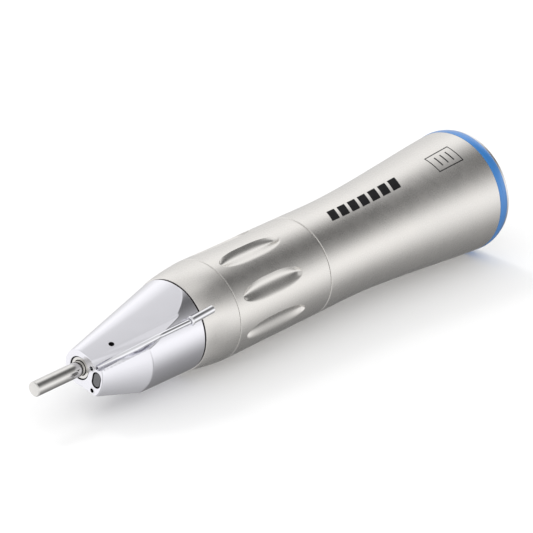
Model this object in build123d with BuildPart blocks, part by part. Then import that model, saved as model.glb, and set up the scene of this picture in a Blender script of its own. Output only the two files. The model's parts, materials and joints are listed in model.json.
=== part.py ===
from build123d import *
import os
from math import atan2, cos, degrees, radians, sin, sqrt

# Straight low-speed dental handpiece, 1:1, with a twist-ring chuck, a nose light and an
# external spray tube.  Millimetres.  The spindle axis is the X axis: the motor end points
# along +X, the bur along -X.  The origin is the centre of the rear face (the mouth of the
# motor socket), and +Z is up as the handpiece lies on a table.
os.makedirs("parts", exist_ok=True)

# ---------------------------------------------------------------- stations along the axis
END_RING_X = -0.95       # joint between the end ring and the blue ring
BLUE_FRONT_X = -2.9      # joint between the blue ring and the sheath
SHEATH_FRONT_X = -41.92  # joint between the sheath and the chuck ring
RING_REAR_X = -42.02
RING_FRONT_X = -62.87
COLLAR_REAR_X = -62.95   # joint between the chuck ring and the front collar
NOSE_REAR_X = -69.8      # joint between the front collar and the nose cone
FACE_X = -89.6           # flat front face of the nose
BUR_TIP_X = -99.1

# ---------------------------------------------------------------- main radii
END_RING_R = 9.9
BLUE_R = 10.25
WAIST_R = 8.2            # sheath where it meets the chuck ring
RING_R = 8.33            # chuck ring at its front edge
NOSE_BARREL_R = 7.45     # nose cone where it meets the collar
NOSE_BARREL_FRONT_R = 7.2
NOSE_TIP_R = 2.95        # round part of the front face
STUB_R = 6.4             # hidden stub of the nose cone, inside the collar
CORE_R = 6.6             # core tube, inside the chuck ring
CORE_BORE_R = 4.7
SOCKET_R = 6.2           # bore that takes the motor's spigot
SOCKET_DEPTH = 24.0
LINER_R = 7.2
SPINDLE_R = 2.5
BUR_R = 1.175            # standard 2.35 mm straight shank
COLLET_R = 1.5

# ---------------------------------------------------------------- fits and travels
RUN = 0.08               # radial running clearance of the ring and the slider
SLIP = 0.03              # clearance of parts that only slip together
RING_TWIST = 35.0        # degrees from clamped to released
SLIDER_TRAVEL = 2.0
COLLET_TRAVEL = 1.2

# ---------------------------------------------------------------- spray side
SPRAY_ROLL = 13.0        # the spray side lies this far below the horizontal -Y side
CHANNEL_R = 5.6          # distance of the light guide and the air tube from the axis
LIGHT_GUIDE_R = 0.6
AIR_TUBE_R = 0.5
AIR_TUBE_BORE_R = 0.3
AIR_ANGLE = -34.4        # air tube, measured from the spray side towards +Z
SPRAY_TUBE_R = 0.42
SPRAY_TUBE_BORE_R = 0.26

SPRAY_OUT = Vector(0, -cos(radians(SPRAY_ROLL)), -sin(radians(SPRAY_ROLL)))
SPRAY_UP = Vector(0, -sin(radians(SPRAY_ROLL)), cos(radians(SPRAY_ROLL)))


def cross_plane(x):
    """Cross-section at x: local x runs out to the spray side, the normal to the nose."""
    return Plane(origin=(x, 0, 0), x_dir=SPRAY_OUT, z_dir=(-1, 0, 0))


def outward(angle):
    """Unit vector away from the axis, at an angle from the spray side towards +Z."""
    return SPRAY_OUT * cos(radians(angle)) + SPRAY_UP * sin(radians(angle))


def axial_plane(angle):
    """Plane through the axis: local x along +X, local y away from the axis."""
    return Plane(origin=(0, 0, 0), x_dir=(1, 0, 0), z_dir=Vector(1, 0, 0).cross(outward(angle)))


def tangent_plane(x, angle, radius):
    """Plane touching the cylinder of that radius: local x along +X, normal outward."""
    origin = Vector(x, 0, 0) + outward(angle) * radius
    return Plane(origin=origin, x_dir=(1, 0, 0), z_dir=outward(angle))


def polar_point(x, radius, angle):
    return Vector(x, 0, 0) + outward(angle) * radius


def turned(*points):
    """Closed half-section in the XZ plane: (x, radius) corners, to be revolved about X."""
    with BuildSketch(Plane.XZ) as section:
        with BuildLine():
            Polyline(*points, close=True)
        make_face()
    return section.sketch


def tube_section(x_front, x_rear, inner, outer):
    return turned((x_front, inner), (x_rear, inner), (x_rear, outer), (x_front, outer))


def disc_on_path(path, radius, bore=0.0):
    """Round section square to the start of a path."""
    with BuildSketch(Plane(origin=path @ 0, z_dir=path % 0)) as section:
        Circle(radius)
        if bore > 0:
            Circle(bore, mode=Mode.SUBTRACT)
    return section.sketch


def save(part, name):
    part.label = name
    export_step(part, f"parts/{name}.step")


# ================================================================ outer shell
# ---------------------------------------------------------------- rear sheath
SHEATH_WALL_FRONT_R = 7.0
SHEATH_WALL_REAR_R = 8.95
RIM_BEVEL = 0.07

with BuildPart() as rear_sheath:
    with BuildSketch(Plane.XZ):
        with BuildLine():
            flare = Spline(
                (SHEATH_FRONT_X, WAIST_R),
                (-33, 8.15),
                (-24, 8.55),
                (-13, 9.45),
                (BLUE_FRONT_X, BLUE_R),
                tangents=[(1, 0), (1, 0.06)],
            )
            Polyline(
                flare @ 1,
                (BLUE_FRONT_X, SHEATH_WALL_REAR_R),
                (-8, SHEATH_WALL_REAR_R),
                (-34, SHEATH_WALL_FRONT_R),
                (SHEATH_FRONT_X, SHEATH_WALL_FRONT_R),
                flare @ 0,
            )
        make_face()
    revolve(axis=Axis.X)
    front_rim = rear_sheath.edges().filter_by(GeomType.CIRCLE).group_by(Axis.X)[0]
    chamfer(front_rim.sort_by(SortBy.RADIUS)[-1], RIM_BEVEL)
save(rear_sheath.part, "rear_sheath")

# ---------------------------------------------------------------- coloured ratio ring
with BuildPart() as blue_ring:
    with BuildSketch(Plane.XZ):
        with BuildLine():
            Polyline(
                (END_RING_X, BLUE_R - 0.2),
                (END_RING_X, SHEATH_WALL_REAR_R),
                (BLUE_FRONT_X, SHEATH_WALL_REAR_R),
                (BLUE_FRONT_X, BLUE_R + 0.05),
            )
            ThreePointArc(
                (BLUE_FRONT_X, BLUE_R + 0.05),
                (-2.1, BLUE_R + 0.06),
                (END_RING_X, BLUE_R - 0.2),
            )
        make_face()
    revolve(axis=Axis.X)
save(blue_ring.part, "blue_ring")

# ---------------------------------------------------------------- end ring with its plug
PLUG_X = -6.0

with BuildPart() as end_ring:
    revolve(
        turned(
            (0, LINER_R + SLIP),
            (0, END_RING_R - 0.45),
            (-0.35, END_RING_R - 0.05),
            (END_RING_X, END_RING_R),
            (END_RING_X, SHEATH_WALL_REAR_R - SLIP),
            (PLUG_X, SHEATH_WALL_REAR_R - SLIP),
            (PLUG_X, LINER_R + SLIP),
        ),
        axis=Axis.X,
    )
save(end_ring.part, "end_ring")

# ---------------------------------------------------------------- motor socket liner
SKIRT_X = -30.0
FLOOR_X = -25.5
DOG_WINDOW_R = 4.6
LATCH_GROOVE_REAR_X = -22.8
LATCH_GROOVE_R = 6.8
LATCH_RING_INNER_R = SOCKET_R + 0.22

with BuildPart() as socket_liner:
    revolve(
        turned(
            (0, SOCKET_R),
            (LATCH_GROOVE_REAR_X, SOCKET_R),
            (LATCH_GROOVE_REAR_X, LATCH_GROOVE_R),
            (-SOCKET_DEPTH, LATCH_GROOVE_R),
            (-SOCKET_DEPTH, DOG_WINDOW_R),
            (FLOOR_X, DOG_WINDOW_R),
            (FLOOR_X, CORE_R),
            (SKIRT_X, CORE_R),
            (SKIRT_X, LINER_R),
            (0, LINER_R),
        ),
        axis=Axis.X,
    )
    for channel_angle, channel_r in ((0, LIGHT_GUIDE_R), (AIR_ANGLE, AIR_TUBE_R)):
        with BuildSketch(cross_plane(-SOCKET_DEPTH + 0.5)):
            with Locations((
                CHANNEL_R * cos(radians(channel_angle)),
                CHANNEL_R * sin(radians(channel_angle)),
            )):
                Circle(channel_r + SLIP)
        extrude(amount=3, mode=Mode.SUBTRACT)
save(socket_liner.part, "socket_liner")

# ---------------------------------------------------------------- latch ring in the socket
with BuildPart() as latch_ring:
    revolve(
        tube_section(
            -SOCKET_DEPTH + 0.1,
            LATCH_GROOVE_REAR_X - 0.1,
            LATCH_RING_INNER_R,
            LATCH_GROOVE_R - SLIP,
        ),
        axis=Axis.X,
        revolution_arc=330,
    )
save(latch_ring.part, "latch_ring")

# ---------------------------------------------------------------- front collar
COLLAR_FRONT_X = NOSE_REAR_X + 0.06

with BuildPart() as front_collar:
    with BuildSketch(Plane.XZ):
        with BuildLine():
            shoulder = ThreePointArc(
                (COLLAR_FRONT_X, NOSE_BARREL_R + 0.08),
                (-66.6, 8.02),
                (COLLAR_REAR_X, RING_R),
            )
            Polyline(
                shoulder @ 1,
                (COLLAR_REAR_X, STUB_R + SLIP),
                (COLLAR_FRONT_X, STUB_R + SLIP),
                shoulder @ 0,
            )
        make_face()
    revolve(axis=Axis.X)
    outer_rims = front_collar.edges().filter_by(GeomType.CIRCLE).sort_by(SortBy.RADIUS)[-2:]
    chamfer(outer_rims, RIM_BEVEL)
save(front_collar.part, "front_collar")

# ================================================================ nose
NOSE_TAPER = 0.227       # growth of the round part's radius per millimetre
FLANK_ANGLE = 93.0       # the upper flank turns flatter below this angle ...
FLANK_LOW_ANGLE = 58.0   # ... and round again below this one, beside the spray tube
FLANK_END_ANGLE = 40.0   # it ends here, inside the lobe
FLANK_FLATNESS = 2.7     # its radius of curvature, as a multiple of the round part's radius
BAND_HALF_WIDTH = 2.8    # half-width of the flat-sided lobe at the front face
BAND_GROWTH = 0.2        # how much that half-width grows per millimetre towards the rear
LOBE_R = 4.97            # lobe at the front face
LOBE_END_X = -76.0
LOBE_END_R = 10.2
LOBE_END_SHIFT = -1.5    # the lobe's circle moves away from the spray side at its rear
VALLEY_R = 2.2           # hollow beside the lobe, in which the spray tube lies
VALLEY_FRONT = (3.79, 4.26)   # its axis at the front face: out to the spray side, up
VALLEY_REAR_X = -79.0
VALLEY_REAR = (9.5, 47.0)    # its axis at that station: distance from the axis, angle
NOSE_BORE_R = 1.9
TUNNEL_R = 2.6
BEARING_R = 4.5
BEARING_FRONT_X = -79.4
SEAL_R = 3.4
SEAL_FRONT_X = -82.6
CORE_FRONT_X = -66.1     # core tube butts on the nose stub here, inside the collar
WINDOW_OUT = 3.68        # window centre, out from the axis
WINDOW_LENGTH = 2.5
WINDOW_WIDTH = 1.5
WINDOW_DEPTH = 1.0
WINDOW_RECESS = 0.08
NOZZLE_R = 0.5
NOZZLE_BORE_R = 0.34
NOZZLE_HOLE_R = NOZZLE_R + 0.01
WATER_NOZZLE = (2.35, 1.38)   # out to the spray side, up
WATER_NOZZLE_DEPTH = 1.5
AIR_NOZZLE_OUT = 3.89         # distance from the axis
AIR_NOZZLE = (AIR_NOZZLE_OUT * cos(radians(AIR_ANGLE)), AIR_NOZZLE_OUT * sin(radians(AIR_ANGLE)))
AIR_NOZZLE_REAR_X = -86.4
VENT_X = -85.3
VENT_ANGLE = 65.0
VENT_R = 0.42

# Light guide: straight along the core, then leaning in to the window.
with BuildLine(axial_plane(0)) as guide_line:
    FilletPolyline(
        (-SOCKET_DEPTH, CHANNEL_R),
        (-80.2, CHANNEL_R),
        (FACE_X + WINDOW_DEPTH + SLIP, WINDOW_OUT),
        radius=8,
    )
guide_path = guide_line.line

# Internal air tube: the same way round, to the lower nozzle.
with BuildLine(axial_plane(AIR_ANGLE)) as air_line:
    FilletPolyline(
        (-SOCKET_DEPTH, CHANNEL_R),
        (-79.2, CHANNEL_R),
        (AIR_NOZZLE_REAR_X + SLIP, AIR_NOZZLE_OUT + 0.1),
        radius=5,
    )
air_path = air_line.line

# External spray tube: along the barrel, down the valley and into the nose behind the nozzle.
WATER_ENTRY = Vector(FACE_X + 0.9, 0, 0) + SPRAY_OUT * 2.72 + SPRAY_UP * 1.5
TUBE_BEND = polar_point(-82.9, 6.8, 40.6)
TUBE_SLOT_ANGLE = 42.0   # the front of the tube lies in a slot that is open this way
with BuildLine() as spray_line:
    FilletPolyline(
        polar_point(-72.7, 8.12, 43.0),
        polar_point(-79.2, 7.75, 42.6),
        TUBE_BEND,
        WATER_ENTRY,
        radius=5.5,
    )
spray_path = spray_line.line

with BuildPart() as lobe:
    with BuildSketch(cross_plane(FACE_X)):
        Circle(LOBE_R)
    with BuildSketch(cross_plane(LOBE_END_X)):
        with Locations((LOBE_END_SHIFT, 0)):
            Circle(LOBE_END_R)
    loft()
    extrude(faces().sort_by(Axis.X)[-1], amount=NOSE_REAR_X - LOBE_END_X, dir=(1, 0, 0))
    band_rear = BAND_HALF_WIDTH + BAND_GROWTH * (NOSE_REAR_X - FACE_X)
    for band_x, band_half in ((FACE_X, BAND_HALF_WIDTH), (NOSE_REAR_X, band_rear)):
        with BuildSketch(cross_plane(band_x)):
            with Locations((6, 0)):
                Rectangle(12, 2 * band_half)
    loft(mode=Mode.INTERSECT)

valley_start = Vector(FACE_X, 0, 0) + SPRAY_OUT * VALLEY_FRONT[0] + SPRAY_UP * VALLEY_FRONT[1]
valley_axis = polar_point(VALLEY_REAR_X, *VALLEY_REAR) - valley_start


def taper_point(radius, angle):
    """Point of the taper's section: round, and flatter between the first two flank angles."""
    if FLANK_END_ANGLE <= angle < FLANK_ANGLE:
        off = radians(FLANK_ANGLE - max(angle, FLANK_LOW_ANGLE))
        shift = FLANK_FLATNESS - 1
        radius *= sqrt(FLANK_FLATNESS**2 - (shift * sin(off)) ** 2) - shift * cos(off)
    return (radius * cos(radians(angle)), radius * sin(radians(angle)))


def taper_section(x):
    """Section of the nose's taper, without the lobe."""
    radius = NOSE_TIP_R + NOSE_TAPER * (x - FACE_X)
    flank_middle = (FLANK_ANGLE + FLANK_LOW_ANGLE) / 2
    roll_middle = (FLANK_LOW_ANGLE + FLANK_END_ANGLE) / 2
    with BuildSketch(cross_plane(x)) as section:
        with BuildLine():
            ThreePointArc(
                taper_point(radius, FLANK_ANGLE),
                taper_point(radius, flank_middle),
                taper_point(radius, FLANK_LOW_ANGLE),
            )
            ThreePointArc(
                taper_point(radius, FLANK_LOW_ANGLE),
                taper_point(radius, roll_middle),
                taper_point(radius, FLANK_END_ANGLE),
            )
            Line(taper_point(radius, FLANK_END_ANGLE), taper_point(radius, 0))
            ThreePointArc(
                taper_point(radius, 0),
                taper_point(radius, 225),
                taper_point(radius, FLANK_ANGLE),
            )
        make_face()
    return section.sketch


with BuildPart() as nose_cone:
    loft([taper_section(FACE_X), taper_section(NOSE_REAR_X)])
    add(lobe.part)
    revolve(
        turned(
            (FACE_X, 0),
            (FACE_X, NOSE_BARREL_FRONT_R),
            (NOSE_REAR_X, NOSE_BARREL_R),
            (NOSE_REAR_X, 0),
        ),
        axis=Axis.X,
        mode=Mode.INTERSECT,
    )
    # hollow for the spray tube
    valley_before = valley_start - valley_axis.normalized() * 6
    with BuildSketch(Plane(origin=valley_before, z_dir=valley_axis)):
        Circle(VALLEY_R)
    extrude(amount=valley_axis.length + 20, mode=Mode.SUBTRACT)
    # hidden stub that carries the collar
    revolve(tube_section(NOSE_REAR_X, CORE_FRONT_X, 0, STUB_R), axis=Axis.X)
    # stepped bore
    revolve(
        turned(
            (FACE_X - 1, 0),
            (FACE_X - 1, NOSE_BORE_R),
            (FACE_X + 2, NOSE_BORE_R),
            (FACE_X + 2, TUNNEL_R),
            (SEAL_FRONT_X, TUNNEL_R),
            (SEAL_FRONT_X, SEAL_R),
            (BEARING_FRONT_X, SEAL_R),
            (BEARING_FRONT_X, BEARING_R),
            (CORE_FRONT_X + 1, BEARING_R),
            (CORE_FRONT_X + 1, 0),
        ),
        axis=Axis.X,
        mode=Mode.SUBTRACT,
    )
    # window pocket and nozzle holes in the front face
    with BuildSketch(cross_plane(FACE_X)):
        with Locations((WINDOW_OUT, 0)):
            SlotOverall(WINDOW_LENGTH, WINDOW_WIDTH, rotation=90)
    extrude(amount=-WINDOW_DEPTH, mode=Mode.SUBTRACT)
    with BuildSketch(cross_plane(FACE_X)):
        with Locations(WATER_NOZZLE):
            Circle(NOZZLE_HOLE_R)
    extrude(amount=-WATER_NOZZLE_DEPTH, mode=Mode.SUBTRACT)
    with BuildSketch(cross_plane(FACE_X)):
        with Locations(AIR_NOZZLE):
            Circle(NOZZLE_HOLE_R)
    extrude(amount=FACE_X - AIR_NOZZLE_REAR_X, mode=Mode.SUBTRACT)
    # channels for the light guide, the air tube and the spray tube
    sweep(disc_on_path(guide_path, LIGHT_GUIDE_R + SLIP), path=guide_path, mode=Mode.SUBTRACT)
    sweep(disc_on_path(air_path, AIR_TUBE_R + SLIP), path=air_path, mode=Mode.SUBTRACT)
    sweep(disc_on_path(spray_path, SPRAY_TUBE_R + SLIP), path=spray_path, mode=Mode.SUBTRACT)
    # open slot over the front of the spray tube
    slot_way = TUBE_BEND - WATER_ENTRY
    slot_side = slot_way.cross(outward(TUBE_SLOT_ANGLE))
    slot_plane = Plane(origin=WATER_ENTRY, x_dir=slot_way, z_dir=slot_side.cross(slot_way))
    with BuildSketch(slot_plane):
        with Locations((slot_way.length / 2, 0)):
            SlotCenterToCenter(slot_way.length, 2 * (SPRAY_TUBE_R + SLIP))
    extrude(amount=3.0, mode=Mode.SUBTRACT)
    # small blind vent in the upper flank
    with BuildSketch(tangent_plane(VENT_X, VENT_ANGLE, 6)):
        Circle(VENT_R)
    extrude(amount=-3.0, mode=Mode.SUBTRACT)
save(nose_cone.part, "nose_cone")

# ---------------------------------------------------------------- window, light guide, nozzles
with BuildPart() as light_window:
    with BuildSketch(cross_plane(FACE_X + WINDOW_RECESS)):
        with Locations((WINDOW_OUT, 0)):
            SlotOverall(WINDOW_LENGTH - 2 * SLIP, WINDOW_WIDTH - 2 * SLIP, rotation=90)
    extrude(amount=-(WINDOW_DEPTH - WINDOW_RECESS - SLIP))
    chamfer(faces().sort_by(Axis.X)[0].edges(), 0.08)
save(light_window.part, "light_window")

with BuildPart() as light_guide:
    sweep(disc_on_path(guide_path, LIGHT_GUIDE_R), path=guide_path)
save(light_guide.part, "light_guide")

with BuildPart() as air_tube:
    sweep(disc_on_path(air_path, AIR_TUBE_R, bore=AIR_TUBE_BORE_R), path=air_path)
save(air_tube.part, "air_tube")

with BuildPart() as water_nozzle:
    with BuildSketch(cross_plane(FACE_X)):
        with Locations(WATER_NOZZLE):
            Circle(NOZZLE_R)
            Circle(NOZZLE_BORE_R, mode=Mode.SUBTRACT)
    extrude(amount=-0.7)
save(water_nozzle.part, "water_nozzle")

with BuildPart() as air_nozzle:
    with BuildSketch(cross_plane(FACE_X)):
        with Locations(AIR_NOZZLE):
            Circle(NOZZLE_R)
            Circle(NOZZLE_BORE_R, mode=Mode.SUBTRACT)
    extrude(amount=FACE_X - AIR_NOZZLE_REAR_X + 0.6)
save(air_nozzle.part, "air_nozzle")

# ---------------------------------------------------------------- external spray tube and barb
BARB_R = 0.65
BARB_BORE_R = 0.47
BEAD_R = 0.78            # collar where the thin tube enters
BEAD_LENGTH = 0.4
barb_front = polar_point(-72.9, 8.13, 43.0)
barb_rear = polar_point(-68.1, 8.45, 45.0)
with BuildLine() as barb_line:
    Line(barb_front, barb_rear)
barb_path = barb_line.line

with BuildPart() as spray_tube:
    sweep(disc_on_path(spray_path, SPRAY_TUBE_R, bore=SPRAY_TUBE_BORE_R), path=spray_path)
save(spray_tube.part, "spray_tube")

with BuildPart() as hose_barb:
    sweep(disc_on_path(barb_path, BARB_R, bore=BARB_BORE_R), path=barb_path)
    with BuildSketch(Plane(origin=barb_path @ 0, z_dir=barb_path % 0)):
        Circle(BEAD_R)
        Circle(BARB_BORE_R, mode=Mode.SUBTRACT)
    extrude(amount=BEAD_LENGTH)
save(hose_barb.part, "hose_barb")

# ---------------------------------------------------------------- front seal
SPINDLE_NOSE_R = 2.3

with BuildPart() as dust_seal:
    revolve(
        turned(
            (SEAL_FRONT_X + 0.02, SPINDLE_NOSE_R + 0.05),
            (SEAL_FRONT_X + 0.5, SPINDLE_NOSE_R + 0.05),
            (SEAL_FRONT_X + 1.4, SPINDLE_NOSE_R + 0.35),
            (SEAL_FRONT_X + 1.4, SEAL_R - 0.02),
            (SEAL_FRONT_X + 0.02, SEAL_R - 0.02),
        ),
        axis=Axis.X,
    )
save(dust_seal.part, "dust_seal")

# ================================================================ ball bearings
BEARING_WIDTH = 3.0
RACE_OUTSIDE_R = BEARING_R - 0.01
RACE_BORE_R = SPINDLE_R + 0.01
INNER_RACE_R = 3.1
OUTER_RACE_R = 3.9
BALL_PITCH_R = 3.5
BALL_R = 0.5
BALLS = 8
CAGE_HALF = 0.9          # half the length of a cage
CAGE_INNER_R = 3.3
CAGE_OUTER_R = 3.7
GROOVE_R = BALL_R + 0.03
REAR_BEARING_X = -38.0
SECOND_BEARING_X = BEARING_FRONT_X + 2 * BEARING_WIDTH
BEARINGS = {
    "front": BEARING_FRONT_X,
    "second": SECOND_BEARING_X,
    "rear": REAR_BEARING_X,
}


def raceway(middle):
    """Round groove section shared by both races."""
    with BuildSketch(Plane.XZ) as section:
        with Locations((middle, BALL_PITCH_R)):
            Circle(GROOVE_R)
    return section.sketch


def ball_plane(middle, number):
    """Plane square to the spoke of one ball pocket, inside the cage."""
    return tangent_plane(middle, number * 360 / BALLS, 2.5)


for place, front_x in BEARINGS.items():
    middle_x = front_x + BEARING_WIDTH / 2
    race_front_x = front_x + 0.01
    race_rear_x = front_x + BEARING_WIDTH - 0.01

    with BuildPart() as outer_race:
        revolve(tube_section(race_front_x, race_rear_x, OUTER_RACE_R, RACE_OUTSIDE_R), axis=Axis.X)
        revolve(raceway(middle_x), axis=Axis.X, mode=Mode.SUBTRACT)
    save(outer_race.part, f"{place}_bearing_outer_ring")

    with BuildPart() as inner_race:
        revolve(tube_section(race_front_x, race_rear_x, RACE_BORE_R, INNER_RACE_R), axis=Axis.X)
        revolve(raceway(middle_x), axis=Axis.X, mode=Mode.SUBTRACT)
    save(inner_race.part, f"{place}_bearing_inner_ring")

    with BuildPart() as balls:
        for ball in range(BALLS):
            with Locations(polar_point(middle_x, BALL_PITCH_R, ball * 360 / BALLS)):
                Sphere(BALL_R)
    save(balls.part, f"{place}_bearing_balls")

    with BuildPart() as cage:
        revolve(
            tube_section(middle_x - CAGE_HALF, middle_x + CAGE_HALF, CAGE_INNER_R, CAGE_OUTER_R),
            axis=Axis.X,
        )
        for pocket in range(BALLS):
            with BuildSketch(ball_plane(middle_x, pocket)):
                Circle(BALL_R + 0.05)
            extrude(amount=2, mode=Mode.SUBTRACT)
    save(cage.part, f"{place}_bearing_cage")

# ---------------------------------------------------------------- spacers and retaining parts
with BuildPart() as outer_spacer:
    revolve(
        tube_section(BEARING_FRONT_X + BEARING_WIDTH, SECOND_BEARING_X, 3.95, RACE_OUTSIDE_R),
        axis=Axis.X,
    )
save(outer_spacer.part, "outer_spacer")

with BuildPart() as inner_spacer:
    revolve(
        tube_section(BEARING_FRONT_X + BEARING_WIDTH, SECOND_BEARING_X, RACE_BORE_R, 3.0),
        axis=Axis.X,
    )
save(inner_spacer.part, "inner_spacer")

WASHER_X = SECOND_BEARING_X + BEARING_WIDTH

# coned spring washer that preloads the front pair
with BuildPart() as preload_washer:
    revolve(
        turned(
            (WASHER_X + 0.3, 3.75),
            (WASHER_X, BEARING_R - 0.06),
            (WASHER_X + 0.25, BEARING_R - 0.02),
            (WASHER_X + 0.55, 3.8),
        ),
        axis=Axis.X,
    )
save(preload_washer.part, "preload_washer")

NUT_X = WASHER_X + 0.57
NUT_REAR_X = NUT_X + 2.0

with BuildPart() as bearing_nut:
    revolve(tube_section(NUT_X, NUT_REAR_X, 3.55, RACE_OUTSIDE_R), axis=Axis.X)
    # cross slot for the fitting key
    with BuildSketch(cross_plane(NUT_REAR_X)):
        Rectangle(2 * BEARING_R + 1, 1.0)
    extrude(amount=0.8, mode=Mode.SUBTRACT)
save(bearing_nut.part, "bearing_nut")

# ================================================================ core tube
FLANGE_FRONT_X = SHEATH_FRONT_X + 0.02
FLANGE_REAR_X = -36.0
SEAT_FRONT_X = REAR_BEARING_X
SEAT_SHOULDER_R = 4.0
SEAT_REAR_X = FLOOR_X - 0.01
CIRCLIP_X = (REAR_BEARING_X + BEARING_WIDTH + 0.02, REAR_BEARING_X + BEARING_WIDTH + 0.72)
CIRCLIP_BORE_R = 4.0
CIRCLIP_R = 4.95
CAM_ANGLES = (75.0, 255.0)   # the two cam pins, from the spray side towards +Z
CAM_PIN_R = 0.6
CAM_PIN_X = -43.9
SLOT_HALF = CAM_PIN_R + 0.06
STOP_X = -61.95
STOP_PIN_ANGLE = 200.0
STOP_PIN_R = 0.45
STOP_PIN_FOOT_R = 5.12       # inner and outer ends of the pin, as distances from the axis
STOP_PIN_TOP_R = 6.95
DETENT_ANGLE = 130.0
DETENT_BALL_R = 0.45
DETENT_BALL_OUT = 6.42
DETENT_SEAT_OUT = 5.0        # floor of the seat, under the spring
ORING_R = 0.2
ORING_OUT = 6.45
ORING_XS = (-58.5, -49.0)

with BuildPart() as core_tube:
    revolve(
        turned(
            (CORE_FRONT_X + 0.01, CORE_BORE_R),
            (SEAT_FRONT_X - 1.0, CORE_BORE_R),
            (SEAT_FRONT_X - 1.0, SEAT_SHOULDER_R),
            (SEAT_FRONT_X, SEAT_SHOULDER_R),
            (SEAT_FRONT_X, BEARING_R),
            (SEAT_REAR_X, BEARING_R),
            (SEAT_REAR_X, CORE_R - 0.02),
            (FLANGE_REAR_X, CORE_R - 0.02),
            (FLANGE_REAR_X, SHEATH_WALL_FRONT_R - 0.02),
            (FLANGE_FRONT_X, SHEATH_WALL_FRONT_R - 0.02),
            (FLANGE_FRONT_X, CORE_R),
            (COLLAR_REAR_X + 0.02, CORE_R),
            (COLLAR_REAR_X + 0.02, STUB_R),
            (CORE_FRONT_X + 0.01, STUB_R),
        ),
        axis=Axis.X,
    )
    revolve(tube_section(*CIRCLIP_X, CIRCLIP_BORE_R, CIRCLIP_R), axis=Axis.X, mode=Mode.SUBTRACT)
    # grooves of the two sealing rings
    for oring_x in ORING_XS:
        revolve(
            tube_section(oring_x - 0.25, oring_x + 0.25, ORING_OUT - ORING_R - 0.01, CORE_R + 1),
            axis=Axis.X,
            mode=Mode.SUBTRACT,
        )
    # lengthwise slots for the cam pins
    for cam_angle in CAM_ANGLES:
        with BuildSketch(tangent_plane(CAM_PIN_X - SLIDER_TRAVEL / 2, cam_angle, 3.5)):
            SlotCenterToCenter(SLIDER_TRAVEL + 0.1, 2 * SLOT_HALF)
        extrude(amount=4, mode=Mode.SUBTRACT)
    # seats of the stop pin and of the detent spring
    with BuildSketch(tangent_plane(STOP_X, STOP_PIN_ANGLE, STOP_PIN_FOOT_R - 0.02)):
        Circle(STOP_PIN_R + 0.01)
    extrude(amount=3, mode=Mode.SUBTRACT)
    with BuildSketch(tangent_plane(STOP_X, DETENT_ANGLE, DETENT_SEAT_OUT)):
        Circle(DETENT_BALL_R + 0.04)
    extrude(amount=3, mode=Mode.SUBTRACT)
    sweep(disc_on_path(guide_path, LIGHT_GUIDE_R + SLIP), path=guide_path, mode=Mode.SUBTRACT)
    sweep(disc_on_path(air_path, AIR_TUBE_R + SLIP), path=air_path, mode=Mode.SUBTRACT)
save(core_tube.part, "core_tube")

with BuildPart() as rear_circlip:
    revolve(
        tube_section(CIRCLIP_X[0] + 0.02, CIRCLIP_X[1] - 0.02, CIRCLIP_BORE_R, CIRCLIP_R - SLIP),
        axis=Axis.X,
        revolution_arc=310,
    )
save(rear_circlip.part, "rear_circlip")

with BuildPart() as sealing_rings:
    for oring_x in ORING_XS:
        with BuildSketch(Plane.XZ) as oring_section:
            with Locations((oring_x, ORING_OUT)):
                Circle(ORING_R)
        revolve(oring_section.sketch, axis=Axis.X)
save(sealing_rings.part, "sealing_rings")

with BuildPart() as stop_pin:
    with BuildSketch(tangent_plane(STOP_X, STOP_PIN_ANGLE, STOP_PIN_FOOT_R)):
        Circle(STOP_PIN_R)
    extrude(amount=STOP_PIN_TOP_R - STOP_PIN_FOOT_R)
save(stop_pin.part, "stop_pin")

with BuildPart() as detent_ball:
    with Locations(Location(polar_point(STOP_X, DETENT_BALL_OUT, DETENT_ANGLE))):
        Sphere(DETENT_BALL_R)
save(detent_ball.part, "detent_ball")

DETENT_WIRE_R = 0.09
detent_base = tangent_plane(STOP_X, DETENT_ANGLE, DETENT_SEAT_OUT + DETENT_WIRE_R + 0.02)
detent_coil = detent_base.location * Helix(
    pitch=0.24,
    height=DETENT_BALL_OUT - DETENT_BALL_R - DETENT_SEAT_OUT - 3 * DETENT_WIRE_R,
    radius=0.32,
)

with BuildPart() as detent_spring:
    sweep(disc_on_path(detent_coil, DETENT_WIRE_R), path=detent_coil, is_frenet=True)
save(detent_spring.part, "detent_spring")

# ================================================================ chuck ring
FLUTES = 8
FLUTE_FIRST_ANGLE = 41.0     # one flute centre, from the spray side towards +Z
FLUTE_FRONT_X = -61.2
FLUTE_REAR_X = -47.8
FLUTE_HALF_ANGLE = 12.0      # half of its width
FLUTE_CAP = 5.6              # length of each rounded end
FLUTE_DEPTH = 0.52
FLUTE_DEEPEST = 0.27         # where it is deepest: 0 is the middle, 1 the upper edge
CAM_FLOOR_R = 7.2
SLOT_START_R = 5.5           # the inside slots are cut outwards from here
CAM_HALF_WIDTH = CAM_PIN_R + 0.27
CAM_WALL_R = 6.95            # middle of the wall that the cam slots are cut in
DETENT_FLOOR_R = 7.0
STOP_FLOOR_R = 7.03

def flute_point(across):
    """Point of a flute's section, at a share of the half-width: a ramp, then a steeper wall."""
    if across < FLUTE_DEEPEST:
        share = (across + 1) / (1 + FLUTE_DEEPEST)
        depth = share * share * (3 - 2 * share)
    else:
        share = (across - FLUTE_DEEPEST) / (1 - FLUTE_DEEPEST)
        depth = 1 - share * share
    angle = radians(FLUTE_HALF_ANGLE * across)
    radius = RING_R - FLUTE_DEPTH * depth
    return (radius * cos(angle), radius * sin(angle))


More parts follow.
